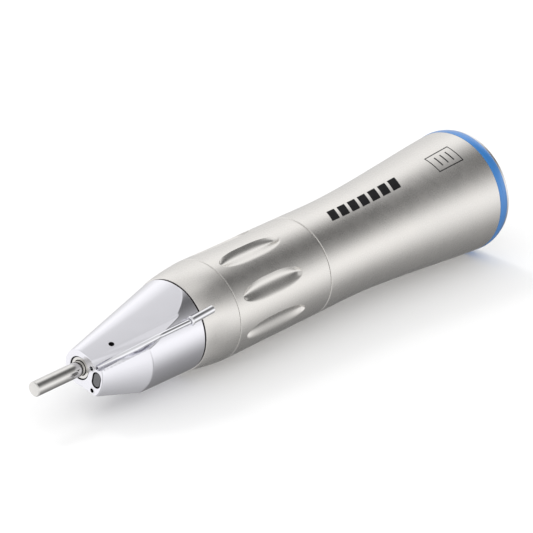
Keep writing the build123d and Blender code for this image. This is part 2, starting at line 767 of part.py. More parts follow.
# Cutter of one flute, on the spray side: its section, kept inside a round-ended outline.
flute_half_width = RING_R * radians(FLUTE_HALF_ANGLE)
flute_length = FLUTE_REAR_X - FLUTE_FRONT_X
with BuildPart() as flute_cutter:
    with BuildSketch(cross_plane(FLUTE_REAR_X)):
        with BuildLine():
            ramp = Spline(*[flute_point(share) for share in (-1, -0.68, -0.37, -0.05, FLUTE_DEEPEST)])
            wall = Spline(*[flute_point(share) for share in (FLUTE_DEEPEST, 0.45, 0.64, 0.82, 1)])
            Polyline(
                wall @ 1,
                (RING_R + 1, flute_half_width),
                (RING_R + 1, -flute_half_width),
                ramp @ 0,
            )
        make_face()
    extrude(amount=flute_length)
    with BuildSketch(tangent_plane((FLUTE_FRONT_X + FLUTE_REAR_X) / 2, 0, 6)) as outline:
        Rectangle(flute_length - 2 * FLUTE_CAP, 2 * flute_half_width)
        with Locations(
            (FLUTE_CAP - flute_length / 2, 0),
            (flute_length / 2 - FLUTE_CAP, 0),
        ):
            Ellipse(FLUTE_CAP, flute_half_width)
    extrude(amount=5, mode=Mode.INTERSECT)

with BuildPart() as chuck_ring:
    revolve(
        turned(
            (RING_FRONT_X, CORE_R + RUN),
            (RING_REAR_X, CORE_R + RUN),
            (RING_REAR_X, WAIST_R),
            (RING_FRONT_X, RING_R),
        ),
        axis=Axis.X,
    )
    ring_rims = chuck_ring.edges().filter_by(GeomType.CIRCLE).sort_by(SortBy.RADIUS)[-2:]
    chamfer(ring_rims, RIM_BEVEL)
    # finger flutes
    for flute in range(FLUTES):
        flute_angle = FLUTE_FIRST_ANGLE + flute * 360 / FLUTES
        add(flute_cutter.part.rotate(Axis.X, -flute_angle), mode=Mode.SUBTRACT)
    # slanting cam slots on the inside: turning the ring drives the pins to the nose
    for cam_angle in CAM_ANGLES:
        mid_angle = cam_angle + RING_TWIST / 2
        chord = 2 * CAM_WALL_R * sin(radians(RING_TWIST / 2))
        slant = degrees(atan2(chord, SLIDER_TRAVEL))
        cam_length = sqrt(chord**2 + SLIDER_TRAVEL**2)
        with BuildSketch(tangent_plane(CAM_PIN_X - SLIDER_TRAVEL / 2, mid_angle, SLOT_START_R)):
            SlotCenterToCenter(cam_length, 2 * CAM_HALF_WIDTH, rotation=-slant)
        extrude(amount=CAM_FLOOR_R - SLOT_START_R, mode=Mode.SUBTRACT)
    # curved slots for the stop pin and the detent ball
    for slot_angle, floor_r, half in (
        (STOP_PIN_ANGLE, STOP_FLOOR_R, STOP_PIN_R + 0.05),
        (DETENT_ANGLE, DETENT_FLOOR_R, DETENT_BALL_R + 0.05),
    ):
        spare = degrees((half + 0.06) / CORE_R)
        slot_start = axial_plane(slot_angle + RING_TWIST + spare)
        with BuildSketch(slot_start) as slot_section:
            with Locations((STOP_X, (floor_r + SLOT_START_R) / 2)):
                Rectangle(2 * half, floor_r - SLOT_START_R)
        revolve(
            slot_section.sketch,
            axis=Axis.X,
            revolution_arc=RING_TWIST + 2 * spare,
            mode=Mode.SUBTRACT,
        )
save(chuck_ring.part, "chuck_ring")

# ================================================================ cam slider
SLIDER_FRONT_X = -46.5
SLIDER_REAR_X = -42.35
SLIDER_R = CORE_BORE_R - RUN
SLIDER_BORE_R = 3.75
PUSH_FACE_X = -43.05
PUSH_FACE_BORE_R = 2.75
CAM_PIN_FOOT_R = SLIDER_BORE_R + 0.06
CAM_PIN_TOP_R = 7.08

with BuildPart() as cam_slider:
    revolve(
        turned(
            (SLIDER_FRONT_X, SLIDER_BORE_R),
            (PUSH_FACE_X, SLIDER_BORE_R),
            (PUSH_FACE_X, PUSH_FACE_BORE_R),
            (SLIDER_REAR_X, PUSH_FACE_BORE_R),
            (SLIDER_REAR_X, SLIDER_R),
            (SLIDER_FRONT_X, SLIDER_R),
        ),
        axis=Axis.X,
    )
    for cam_angle in CAM_ANGLES:
        with BuildSketch(tangent_plane(CAM_PIN_X, cam_angle, 3)):
            Circle(CAM_PIN_R + 0.01)
        extrude(amount=3, mode=Mode.SUBTRACT)
save(cam_slider.part, "cam_slider")

with BuildPart() as cam_pins:
    for cam_angle in CAM_ANGLES:
        with BuildSketch(tangent_plane(CAM_PIN_X, cam_angle, CAM_PIN_FOOT_R)):
            Circle(CAM_PIN_R)
        extrude(amount=CAM_PIN_TOP_R - CAM_PIN_FOOT_R)
save(cam_pins.part, "cam_pins")

# ================================================================ spindle
SPINDLE_FRONT_X = -89.4
SPINDLE_REAR_X = -30.2
SHOULDER_X = -80.4
SHOULDER_R = 2.9
SPINDLE_MOUTH_R = 1.3
SPINDLE_LIP_R = 1.72
CHAMBER_R = 2.0              # room in which the collet's head opens
REAR_HOLE_R = 0.9
SPRING_BORE_R = 2.15
SPRING_FRONT_X = -70.0
SPRING_REAR_X = -39.5
SPINDLE_LIP_X = -87.35
COLLET_FRONT_X = -86.0
COLLET_NECK_X = -82.0
RELEASE_PIN_X = -44.75
RELEASE_PIN_R = 0.45
RELEASE_PIN_END_R = 3.4      # distance of the cross pin's ends from the axis
DOG_PIN_X = -32.2
DOG_PIN_R = 0.4

with BuildPart() as spindle:
    revolve(
        turned(
            (SPINDLE_FRONT_X, SPINDLE_MOUTH_R),
            (SPINDLE_LIP_X, SPINDLE_MOUTH_R),
            (SPINDLE_LIP_X, CHAMBER_R),
            (COLLET_FRONT_X, CHAMBER_R),
            (COLLET_NECK_X, COLLET_R + 0.1),
            (SPRING_FRONT_X, COLLET_R + 0.1),
            (SPRING_FRONT_X, SPRING_BORE_R),
            (SPRING_REAR_X, SPRING_BORE_R),
            (SPRING_REAR_X, REAR_HOLE_R),
            (SPINDLE_REAR_X, REAR_HOLE_R),
            (SPINDLE_REAR_X, SPINDLE_R),
            (BEARING_FRONT_X, SPINDLE_R),
            (BEARING_FRONT_X, SHOULDER_R),
            (SHOULDER_X, SHOULDER_R),
            (SHOULDER_X, SPINDLE_NOSE_R),
            (FACE_X + 2.1, SPINDLE_NOSE_R),
            (FACE_X + 2.1, SPINDLE_LIP_R),
            (SPINDLE_FRONT_X, SPINDLE_LIP_R),
        ),
        axis=Axis.X,
    )
    # slot through which the release pin slides
    with BuildSketch(Plane.XY.offset(-4)):
        with Locations((RELEASE_PIN_X - COLLET_TRAVEL / 2, 0)):
            SlotCenterToCenter(COLLET_TRAVEL + 0.1, 2 * (RELEASE_PIN_R + 0.05))
    extrude(amount=8, mode=Mode.SUBTRACT)
    # cross hole of the drive dog's pin
    with BuildSketch(Plane.XY.offset(-4)):
        with Locations((DOG_PIN_X, 0)):
            Circle(DOG_PIN_R + 0.01)
    extrude(amount=8, mode=Mode.SUBTRACT)
save(spindle.part, "spindle")

DOG_FRONT_X = REAR_BEARING_X + BEARING_WIDTH + 0.03
DOG_REAR_X = -26.3
DOG_R = 3.4
DOG_COLLAR_R = 3.0
CLAW_LENGTH = 2.4
CLAW_GAP = 2.4

with BuildPart() as drive_dog:
    revolve(
        turned(
            (DOG_FRONT_X, SPINDLE_R + 0.01),
            (SPINDLE_REAR_X + 0.02, SPINDLE_R + 0.01),
            (SPINDLE_REAR_X + 0.02, 0),
            (DOG_REAR_X, 0),
            (DOG_REAR_X, DOG_R - 0.4),
            (DOG_REAR_X - 0.4, DOG_R),
            (DOG_FRONT_X + 1.2, DOG_R),
            (DOG_FRONT_X + 1.2, DOG_COLLAR_R),
            (DOG_FRONT_X, DOG_COLLAR_R),
        ),
        axis=Axis.X,
    )
    # cross slot that leaves two claws for the motor's drive
    with BuildSketch(cross_plane(DOG_REAR_X + 0.1)):
        Rectangle(2 * DOG_R + 1, CLAW_GAP)
    extrude(amount=CLAW_LENGTH + 0.1, mode=Mode.SUBTRACT)
    with BuildSketch(Plane.XY.offset(-4)):
        with Locations((DOG_PIN_X, 0)):
            Circle(DOG_PIN_R + 0.01)
    extrude(amount=8, mode=Mode.SUBTRACT)
save(drive_dog.part, "drive_dog")

with BuildPart() as dog_pin:
    with BuildSketch(Plane.XY.offset(-3.2)):
        with Locations((DOG_PIN_X, 0)):
            Circle(DOG_PIN_R)
    extrude(amount=6.4)
save(dog_pin.part, "dog_pin")

# ================================================================ collet
COLLET_BORE_R = BUR_R + 0.025
COLLET_REAR_X = -43.4
COLLET_SLOTS = 3
COLLET_SLOT_LENGTH = 9.0
COLLET_SLOT_HALF = 0.12
COLLET_NUT_X = -45.9
RELEASE_RING_X = (-45.6, -43.9)
RELEASE_RING_R = 3.45

with BuildPart() as collet:
    revolve(
        turned(
            (COLLET_FRONT_X, COLLET_BORE_R),
            (COLLET_REAR_X, COLLET_BORE_R),
            (COLLET_REAR_X, COLLET_R),
            (COLLET_NECK_X + 0.2, COLLET_R),
            (COLLET_FRONT_X + 0.1, 1.88),
            (COLLET_FRONT_X, 1.8),
        ),
        axis=Axis.X,
    )
    # springing slots that divide the front into jaws
    for slot in range(COLLET_SLOTS):
        with BuildSketch(axial_plane(30 + slot * 360 / COLLET_SLOTS)):
            with Locations((COLLET_FRONT_X + COLLET_SLOT_LENGTH / 2, 1.6)):
                Rectangle(COLLET_SLOT_LENGTH + 0.2, 1.6)
        extrude(amount=COLLET_SLOT_HALF, both=True, mode=Mode.SUBTRACT)
    with BuildSketch(Plane.XY.offset(-4)):
        with Locations((RELEASE_PIN_X, 0)):
            Circle(RELEASE_PIN_R + 0.01)
    extrude(amount=8, mode=Mode.SUBTRACT)
save(collet.part, "collet")

with BuildPart() as collet_nut:
    revolve(
        tube_section(COLLET_NUT_X, COLLET_REAR_X, COLLET_R + 0.01, SPRING_BORE_R - 0.04),
        axis=Axis.X,
    )
    with BuildSketch(Plane.XY.offset(-4)):
        with Locations((RELEASE_PIN_X, 0)):
            Circle(RELEASE_PIN_R + 0.01)
    extrude(amount=8, mode=Mode.SUBTRACT)
save(collet_nut.part, "collet_nut")

with BuildPart() as release_ring:
    revolve(
        tube_section(RELEASE_RING_X[0], RELEASE_RING_X[1], SPINDLE_R + 0.06, RELEASE_RING_R),
        axis=Axis.X,
    )
    with BuildSketch(Plane.XY.offset(-4)):
        with Locations((RELEASE_PIN_X, 0)):
            Circle(RELEASE_PIN_R + 0.01)
    extrude(amount=8, mode=Mode.SUBTRACT)
save(release_ring.part, "release_ring")

# cross pin, in two halves because the bur's shank passes between them
with BuildPart() as release_pins:
    for side in (1, -1):
        with BuildSketch(Plane.XY.offset(side * (COLLET_BORE_R + 0.02))):
            with Locations((RELEASE_PIN_X, 0)):
                Circle(RELEASE_PIN_R)
        extrude(amount=side * (RELEASE_PIN_END_R - COLLET_BORE_R - 0.02))
save(release_pins.part, "release_pins")

# ---------------------------------------------------------------- chuck spring
CHUCK_WIRE_R = 0.2
CHUCK_COIL_R = 1.83
SPRING_GAP = CHUCK_WIRE_R + 0.04
spring_start = Plane(origin=(SPRING_FRONT_X + SPRING_GAP, 0, 0), z_dir=(1, 0, 0))
spring_coil = spring_start.location * Helix(
    pitch=1.6,
    height=COLLET_NUT_X - SPRING_FRONT_X - 2 * SPRING_GAP,
    radius=CHUCK_COIL_R,
)

with BuildPart() as chuck_spring:
    sweep(disc_on_path(spring_coil, CHUCK_WIRE_R), path=spring_coil, is_frenet=True)
save(chuck_spring.part, "chuck_spring")

# ---------------------------------------------------------------- bur blank
BUR_LENGTH = 44.5
BUR_END_BEVEL = 0.15
NECK_X = (FACE_X + 0.25, FACE_X + 1.1)   # shallow relief neck, just inside the nose
NECK_R = 0.95

with BuildPart() as bur_blank:
    revolve(
        turned(
            (BUR_TIP_X, 0),
            (BUR_TIP_X, BUR_R - BUR_END_BEVEL),
            (BUR_TIP_X + BUR_END_BEVEL, BUR_R),
            (NECK_X[0], BUR_R),
            (NECK_X[0], NECK_R),
            (NECK_X[1], NECK_R),
            (NECK_X[1], BUR_R),
            (BUR_TIP_X + BUR_LENGTH - BUR_END_BEVEL, BUR_R),
            (BUR_TIP_X + BUR_LENGTH, BUR_R - BUR_END_BEVEL),
            (BUR_TIP_X + BUR_LENGTH, 0),
        ),
        axis=Axis.X,
    )
save(bur_blank.part, "bur_blank")
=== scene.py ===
import json
import math

import bmesh
import bpy
import numpy as np
from mathutils import Matrix, Vector


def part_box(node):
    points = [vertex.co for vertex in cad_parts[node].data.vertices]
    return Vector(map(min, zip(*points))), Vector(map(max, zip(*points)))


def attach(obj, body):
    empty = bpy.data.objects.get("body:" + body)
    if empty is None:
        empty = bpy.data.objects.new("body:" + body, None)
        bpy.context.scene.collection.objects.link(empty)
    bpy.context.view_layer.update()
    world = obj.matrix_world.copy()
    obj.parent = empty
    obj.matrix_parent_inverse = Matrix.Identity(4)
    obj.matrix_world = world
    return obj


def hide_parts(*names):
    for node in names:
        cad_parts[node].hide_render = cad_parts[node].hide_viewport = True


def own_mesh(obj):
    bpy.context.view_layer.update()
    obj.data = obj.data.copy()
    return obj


# Straight dental handpiece: detailed skins, finishes, floor, light and camera around the
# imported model.  Points are in millimetres in the row frame until build() scales them.
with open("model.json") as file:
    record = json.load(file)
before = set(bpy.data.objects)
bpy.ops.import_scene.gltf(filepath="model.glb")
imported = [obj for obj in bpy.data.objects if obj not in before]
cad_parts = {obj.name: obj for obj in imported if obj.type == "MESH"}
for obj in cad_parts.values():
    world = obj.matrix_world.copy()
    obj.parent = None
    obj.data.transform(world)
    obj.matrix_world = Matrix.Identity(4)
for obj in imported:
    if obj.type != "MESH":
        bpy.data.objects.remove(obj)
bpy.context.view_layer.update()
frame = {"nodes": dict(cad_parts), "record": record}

MM = 0.001
SUPPORT = 0.03      # extra loop beside a rounded edge, which keeps long faces flat in shading
SPRAY_ROLL = math.radians(13.0)
SPRAY_OUT = np.array([0.0, -math.cos(SPRAY_ROLL), -math.sin(SPRAY_ROLL)])
SPRAY_UP = np.array([0.0, -math.sin(SPRAY_ROLL), math.cos(SPRAY_ROLL)])
scene = bpy.context.scene


def extent(node):
    """(lowest x, highest x, outer radius) of a turned CAD node, in millimetres."""
    low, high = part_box(node)
    return low.x / MM, high.x / MM, high.z / MM


FACE_X, STUB_X, _ = extent("nose_cone")
COLLAR_X, COLLAR_REAR_X, RING_R = extent("front_collar")
RING_FRONT_X, RING_REAR_X, _ = extent("chuck_ring")
SHEATH_X, SHEATH_REAR_X, SHEATH_R = extent("rear_sheath")
BLUE_X, BLUE_REAR_X, _ = extent("blue_ring")
PLUG_X, END_X, END_R = extent("end_ring")
NOSE_X = COLLAR_X - 0.22        # the nose stops short of the collar, which leaves a dark joint
WAIST_R = 8.2                   # sheath and chuck ring where they meet


# ================================================================ shader nodes
def feed(tree, socket, value):
    """Gives an input its value, or links it to an output."""
    if isinstance(value, bpy.types.NodeSocket):
        tree.links.new(value, socket)
    else:
        socket.default_value = value


def add(tree, kind, label=None, **values):
    """A node with its settings and its inputs."""
    node = tree.nodes.new(kind)
    if label:
        node.label = label
    for key, value in values.items():
        name = key.replace("_", " ")
        socket = node.inputs.get(name) or node.inputs.get(name.title())
        if socket is None:
            setattr(node, key, value)
        else:
            feed(tree, socket, value)
    return node


def maths(tree, operation, first, second):
    node = add(tree, "ShaderNodeMath", operation=operation)
    feed(tree, node.inputs[0], first)
    feed(tree, node.inputs[1], second)
    return node.outputs["Value"]


def mixed(tree, share, first, second):
    """Goes from the first colour to the second as share rises from 0 to 1."""
    node = add(tree, "ShaderNodeMix", data_type="RGBA")
    feed(tree, node.inputs["Factor"], share)
    feed(tree, node.inputs[6], first)
    feed(tree, node.inputs[7], second)
    return node.outputs[2]


def noise(tree, place, size, stretch=(1, 1, 1), detail=3.0, label=None):
    """Noise whose blobs are about size millimetres across, before it is stretched."""
    mapping = add(tree, "ShaderNodeMapping", Vector=place)
    mapping.inputs["Scale"].default_value = [s / (size * MM) for s in stretch]
    return add(
        tree, "ShaderNodeTexNoise", label, Vector=mapping.outputs["Vector"], Scale=1.0,
        Detail=detail, Roughness=0.55,
    ).outputs["Fac"]


def span(tree, value, low, high, start=0.3, end=0.7):
    """Maps the middle of a noise to a range."""
    node = add(tree, "ShaderNodeMapRange", Value=value)
    node.inputs["From Min"].default_value = start
    node.inputs["From Max"].default_value = end
    node.inputs["To Min"].default_value = low
    node.inputs["To Max"].default_value = high
    return node.outputs["Result"]


# ================================================================ finishes
TWO_NOISES = (0.7, 1.3)         # the middle of the sum of two noises


def finish(
    name, colour, rough, metallic=1.0, spread=0.03, cloud=6.0, grain=0.12, relief=0.0004,
    stretch=(1, 1, 1), lines=0.0, line_relief=0.0, tint=None, **direct,
):
    """A procedural finish.

    rough is the range of roughness; cloud and grain are the sizes of the broad variation and
    of the fine relief; stretch lengthens the grain; lines is the pitch of turning marks.
    """
    material = bpy.data.materials.new(name)
    material.use_nodes = True
    tree = material.node_tree
    shader = tree.nodes["Principled BSDF"]
    place = add(tree, "ShaderNodeTexCoord").outputs["Object"]
    broad = noise(tree, place, cloud, label="broad variation")
    fine = noise(tree, place, grain, stretch, detail=4.0, label="fine grain")
    streak = noise(tree, place, cloud / 3, [s ** 0.5 for s in stretch], label="streaks")

    shade = span(tree, maths(tree, "ADD", broad, streak), 0.0, 1.0, *TWO_NOISES)
    dark = [c * (1 - spread) for c in colour] + [1]
    light = [min(c * (1 + spread), 1) for c in tint or colour] + [1]
    feed(tree, shader.inputs["Base Color"], mixed(tree, shade, dark, light))

    roughness = span(tree, maths(tree, "ADD", streak, fine), *rough, *TWO_NOISES)
    feed(tree, shader.inputs["Roughness"], roughness)

    bump = add(tree, "ShaderNodeBump", "grain relief", Height=fine, Distance=relief * MM)
    normal = bump.outputs["Normal"]
    if lines:
        mapping = add(tree, "ShaderNodeMapping", Vector=place)
        mapping.inputs["Scale"].default_value = [1 / (lines * MM)] * 3
        wave = add(
            tree, "ShaderNodeTexWave", "turning marks", bands_direction="X",
            Vector=mapping.outputs["Vector"], Scale=math.pi / 10, Distortion=0.6,
        )
        turned = add(
            tree, "ShaderNodeBump", "turning relief", Height=wave.outputs["Fac"],
            Distance=line_relief * MM, Normal=normal,
        )
        normal = turned.outputs["Normal"]
    feed(tree, shader.inputs["Normal"], normal)
    shader.inputs["Metallic"].default_value = metallic
    for key, value in direct.items():
        shader.inputs[key.replace("_", " ")].default_value = value
    return material


ROUND_ABOUT = (1, 0.04, 0.04)   # grain drawn out round the axis
ALONG = (0.05, 1, 1)            # grain drawn out along the axis
FINISHES = {
    "satin_steel": finish(
        "satin_steel", (0.72, 0.702, 0.678), (0.25, 0.30), grain=0.08, relief=0.00016,
        spread=0.015, tint=(0.73, 0.708, 0.68),
    ),
    "nose_chrome": finish(
        "nose_chrome", (0.785, 0.78, 0.825), (0.17, 0.21), grain=0.4, relief=0.0003, spread=0.012,
        cloud=8.0,
    ),
    "blue_band": finish(
        "blue_band", (0.028, 0.19, 0.53), (0.26, 0.34), metallic=0.15, stretch=ROUND_ABOUT,
        grain=0.2, relief=0.0008, spread=0.05, tint=(0.035, 0.21, 0.56),
        Coat_Weight=0.5, Coat_Roughness=0.12,
    ),
    "end_rim": finish(
        "end_rim", (0.80, 0.79, 0.785), (0.3, 0.38), stretch=ROUND_ABOUT, grain=0.2,
        relief=0.001, lines=0.18, line_relief=0.0008,
    ),
    "bright_steel": finish(
        "bright_steel", (0.82, 0.82, 0.85), (0.06, 0.1), grain=0.3, relief=0.0003, cloud=3.0,
        spread=0.02,
    ),
    "window_glass": finish(
        "window_glass", (0.05, 0.05, 0.058), (0.05, 0.1), metallic=0.0, grain=0.4,
        relief=0.0004, cloud=1.5, spread=0.2, IOR=1.52, Coat_Weight=1.0, Coat_Roughness=0.04,
    ),
    "light_rod": finish(
        "light_rod", (0.90, 0.92, 0.90), (0.08, 0.16), metallic=0.0, grain=0.3, relief=0.0005,
        cloud=2.0, IOR=1.5, Transmission_Weight=0.6,
    ),
    "seal_rubber": finish(
        "seal_rubber", (0.025, 0.025, 0.026), (0.6, 0.75), metallic=0.0, grain=0.06,
        relief=0.004, cloud=2.0, spread=0.25,
    ),
    "bearing_steel": finish(
        "bearing_steel", (0.78, 0.79, 0.81), (0.09, 0.15), stretch=ROUND_ABOUT, grain=0.1,
        relief=0.0003, cloud=2.5,
    ),
    "cage_resin": finish(
        "cage_resin", (0.33, 0.16, 0.06), (0.42, 0.58), metallic=0.0, grain=0.15,
        relief=0.003, cloud=1.2, spread=0.25, tint=(0.42, 0.22, 0.09),
    ),
    "spring_steel": finish(
        "spring_steel", (0.52, 0.53, 0.55), (0.25, 0.36), stretch=ALONG, grain=0.08,
        relief=0.0008, cloud=1.5, spread=0.08,
    ),
    "tool_steel": finish(
        "tool_steel", (0.68, 0.668, 0.65), (0.15, 0.2), stretch=ROUND_ABOUT, grain=0.08,
        relief=0.0003, cloud=3.0, spread=0.03,
    ),
    "core_alloy": finish(
        "core_alloy", (0.70, 0.71, 0.73), (0.28, 0.36), stretch=ROUND_ABOUT, grain=0.1,
        relief=0.0008, lines=0.25, line_relief=0.0012,
    ),
    "brass": finish(
        "brass", (0.76, 0.56, 0.26), (0.2, 0.3), stretch=ROUND_ABOUT, grain=0.1,
        relief=0.0006, lines=0.2, line_relief=0.0008, spread=0.06,
    ),
}
MARK_INK = finish(
    "mark_ink", (0.008, 0.008, 0.009), (0.55, 0.7), metallic=0.0, grain=0.08, relief=0.001,
    cloud=1.0, spread=0.4, Specular_IOR_Level=0.12,
)
# Painted shade: a near-black finish put on the walls of holes and bores, where only shade falls.
PAINTED_BORE_SHADE = finish(
    "painted_bore_shade", (0.03, 0.03, 0.033), (0.5, 0.65), metallic=0.6, grain=0.1, relief=0.001,
    cloud=0.8, spread=0.3, Specular_IOR_Level=0.2,
)


# ================================================================ mesh helpers
def build(name, points, faces, slot, body, *nodes, material=None, crease=32.0):
    """Makes a mesh piece of points in millimetres; it rides on body and stands for nodes."""
    mesh = bpy.data.meshes.new(name)
    mesh.from_pydata((np.asarray(points) * MM).tolist(), [], [list(map(int, f)) for f in faces])
    work = bmesh.new()
    work.from_mesh(mesh)
    bmesh.ops.remove_doubles(work, verts=work.verts, dist=1e-7)
    bmesh.ops.recalc_face_normals(work, faces=work.faces)
    work.to_mesh(mesh)
    work.free()
    obj = bpy.data.objects.new(name, mesh)
    scene.collection.objects.link(obj)
    mesh.materials.append(material or FINISHES[slot])
    smooth(mesh, crease)
    if body:
        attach(obj, body)
    if nodes:
        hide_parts(*nodes)
    return obj


def smooth(mesh, crease):
    mesh.shade_smooth()
    mesh.set_sharp_from_angle(angle=math.radians(crease))


def grid_faces(rows, columns, closed=True):
    """Quads of a grid whose columns wrap round, and whose rows wrap too when it is closed."""
    here = np.arange(rows if closed else rows - 1)[:, None]
    column = np.arange(columns)[None, :]
    after, beside = (here + 1) % rows, (column + 1) % columns
    corners = (here, column), (here, beside), (after, beside), (after, column)
    return np.stack([r * columns + c for r, c in corners], -1).reshape(-1, 4)


def rounded(corners):
    """A half-section with its corners rounded: each corner is (x, radius, edge radius)."""
    out = []
    for i, (x, r, edge) in enumerate(corners):
        here = np.array([x, r], float)
        if not edge:
            out.append(here)
            continue
        back = np.array(corners[i - 1][:2]) - here
        ahead = np.array(corners[(i + 1) % len(corners)][:2]) - here
        back, ahead = back / np.linalg.norm(back), ahead / np.linalg.norm(ahead)
        start, end = here + back * edge, here + ahead * edge
        out.append(start + back * SUPPORT)
        for t in np.linspace(0, 1, 5):
            out.append((1 - t) ** 2 * start + 2 * t * (1 - t) * here + t * t * end)
        out.append(end + ahead * SUPPORT)
    return np.array(out)


def lathe(profile, segments=192):
    """Points and faces of a closed half-section turned about the X axis."""
    profile = np.asarray(profile, float)
    turn = np.linspace(0, 2 * math.pi, segments, endpoint=False)
    x = np.repeat(profile[:, :1], segments, 1)
    points = np.stack([x, -profile[:, 1:] * np.cos(turn), profile[:, 1:] * np.sin(turn)], -1)
    on_axis = profile[0, 1] == 0
    return points.reshape(-1, 3), grid_faces(len(profile), segments, closed=not on_axis)


def swept(section, turn):
    """Points and faces of a closed half-section that changes round the axis.

    section holds (x, radius) by row and column; turn holds the angles in radians.
    """
    away = SPRAY_OUT * np.cos(turn)[..., None] + SPRAY_UP * np.sin(turn)[..., None]
    points = section[..., 1:] * away + section[..., :1] * np.array([1.0, 0, 0])
    return points.reshape(-1, 3), grid_faces(*section.shape[:2])


def placed(points, origin, direction):
    """Points turned so that their X axis lies along direction, then moved to origin."""
    turn = Vector((1, 0, 0)).rotation_difference(Vector(direction)).to_matrix()
    return np.asarray(points) @ np.array(turn).T + np.asarray(origin)


def outward(angle):
    """Unit vector away from the axis, at an angle in degrees from the spray side to +Z."""
    a = math.radians(angle)
    return SPRAY_OUT * math.cos(a) + SPRAY_UP * math.sin(a)


def polar(x, radius, angle):
    return np.array([x, 0, 0]) + outward(angle) * radius


def spot(x, out, up):
    """A point by its place along the axis, out to the spray side and up."""
    return np.array([x, 0, 0]) + SPRAY_OUT * out + SPRAY_UP * up


def soft_min(a, b, width):
    h = np.clip(width - np.abs(a - b), 0, None) / width
    return np.minimum(a, b) - h * h * width / 4


def soft_max(a, b, width):
    return -soft_min(-a, -b, width)


def clamped_spline(xs, ys, first, last):
    """Cubic through the points with the given end slopes, as a function of x."""
    xs, ys = np.array(xs, float), np.array(ys, float)
    h, d = np.diff(xs), np.diff(ys) / np.diff(xs)
    n = len(xs)
    left, right = np.eye(n), np.zeros(n)
    right[0], right[-1] = first, last
    for i in range(1, n - 1):
        left[i, i - 1:i + 2] = h[i], 2 * (h[i - 1] + h[i]), h[i - 1]
        right[i] = 3 * (h[i] * d[i - 1] + h[i - 1] * d[i])
    slope = np.linalg.solve(left, right)

    def curve(x):
        x = np.asarray(x, float)
        k = np.clip(np.searchsorted(xs, x) - 1, 0, n - 2)
        t = (x - xs[k]) / h[k]
        return (
            (1 + 2 * t) * (1 - t) ** 2 * ys[k] + t * (1 - t) ** 2 * h[k] * slope[k]
            + t * t * (3 - 2 * t) * ys[k + 1] + t * t * (t - 1) * h[k] * slope[k + 1]
        )

    return curve


# ================================================================ turned shells
sheath_radius = clamped_spline(
    (SHEATH_X, -33, -24, -13, SHEATH_REAR_X), (WAIST_R, 8.15, 8.55, 9.45, SHEATH_R), 0, 0.06
)
EDGE = 0.07
FINE_EDGE = 0.05
SEAM_EDGE = 0.16                # the rims that catch the light, on the rear side of a joint
SHEATH_BORE_R = 7.0
PLUG_BORE_R = 8.95              # wider bore at the rear, for the end ring's plug
flare = np.arange(SHEATH_X + 0.4, SHEATH_REAR_X - 0.3, 0.5)
sheath_corners = [(SHEATH_X, WAIST_R, SEAM_EDGE)]
sheath_corners += [(x, float(sheath_radius(x)), 0) for x in flare]
sheath_corners += [
    (SHEATH_REAR_X, SHEATH_R, FINE_EDGE),
    (SHEATH_REAR_X, PLUG_BORE_R, EDGE),
    (-8, PLUG_BORE_R, 0),
    (-34, SHEATH_BORE_R, 0),
    (SHEATH_X, SHEATH_BORE_R, EDGE),
]
build("rear_sheath_skin", *lathe(rounded(sheath_corners)), "satin_steel", "root", "rear_sheath")

CROWN_R, CROWN_X = 10.31, -2.3  # highest line of the blue ring's crown
CROWN_FALL, CROWN_REACH = 0.26, 1.35    # the crown falls by this over that length
BLUE_REAR_R = 10.03
blue_front, blue_rear = BLUE_X + 0.01, BLUE_REAR_X - 0.01
blue_crown = [
    (x, CROWN_R - CROWN_FALL * ((x - CROWN_X) / CROWN_REACH) ** 2, 0)
    for x in np.arange(-2.7, -1.05, 0.15)
]
build(
    "blue_ring_band",
    *lathe(rounded(
        [(blue_front, SHEATH_R + 0.03, FINE_EDGE)] + blue_crown + [
            (blue_rear, BLUE_REAR_R, FINE_EDGE),
            (blue_rear, PLUG_BORE_R, 0),
            (blue_front, PLUG_BORE_R, 0),
        ]
    )),
    "blue_band", "root", "blue_ring",
)
PLUG_R, LINER_HOLE_R = 8.92, 7.23
END_BEVEL = 0.42
END_EDGE = 0.1
build(
    "end_ring_rim",
    *lathe(rounded([
        (END_X, LINER_HOLE_R, END_EDGE),
        (END_X, END_R - END_BEVEL, END_EDGE),
        (-0.38, END_R - 0.05, END_EDGE),
        (BLUE_REAR_X, END_R, FINE_EDGE),
        (BLUE_REAR_X, PLUG_R, 0),
        (PLUG_X, PLUG_R, 0),
        (PLUG_X, LINER_HOLE_R, 0),
    ])),
    "end_rim", "root", "end_ring",
)

COLLAR_FRONT_R, COLLAR_BORE_R = 7.53, 6.43
collar_r = clamped_spline(
    (COLLAR_X, -66.6, COLLAR_REAR_X), (COLLAR_FRONT_R, 8.02, RING_R), 0.2, 0.06
)
collar = np.arange(COLLAR_X + 0.35, COLLAR_REAR_X - 0.3, 0.3)
build(
    "front_collar_sleeve",
    *lathe(rounded(
        [(COLLAR_X, COLLAR_FRONT_R, EDGE)] + [(x, float(collar_r(x)), 0) for x in collar]
        + [
            (COLLAR_REAR_X, RING_R, EDGE),
            (COLLAR_REAR_X, COLLAR_BORE_R, FINE_EDGE),
            (COLLAR_X, COLLAR_BORE_R, FINE_EDGE),
        ]
    )),
    "satin_steel", "root", "front_collar",
)

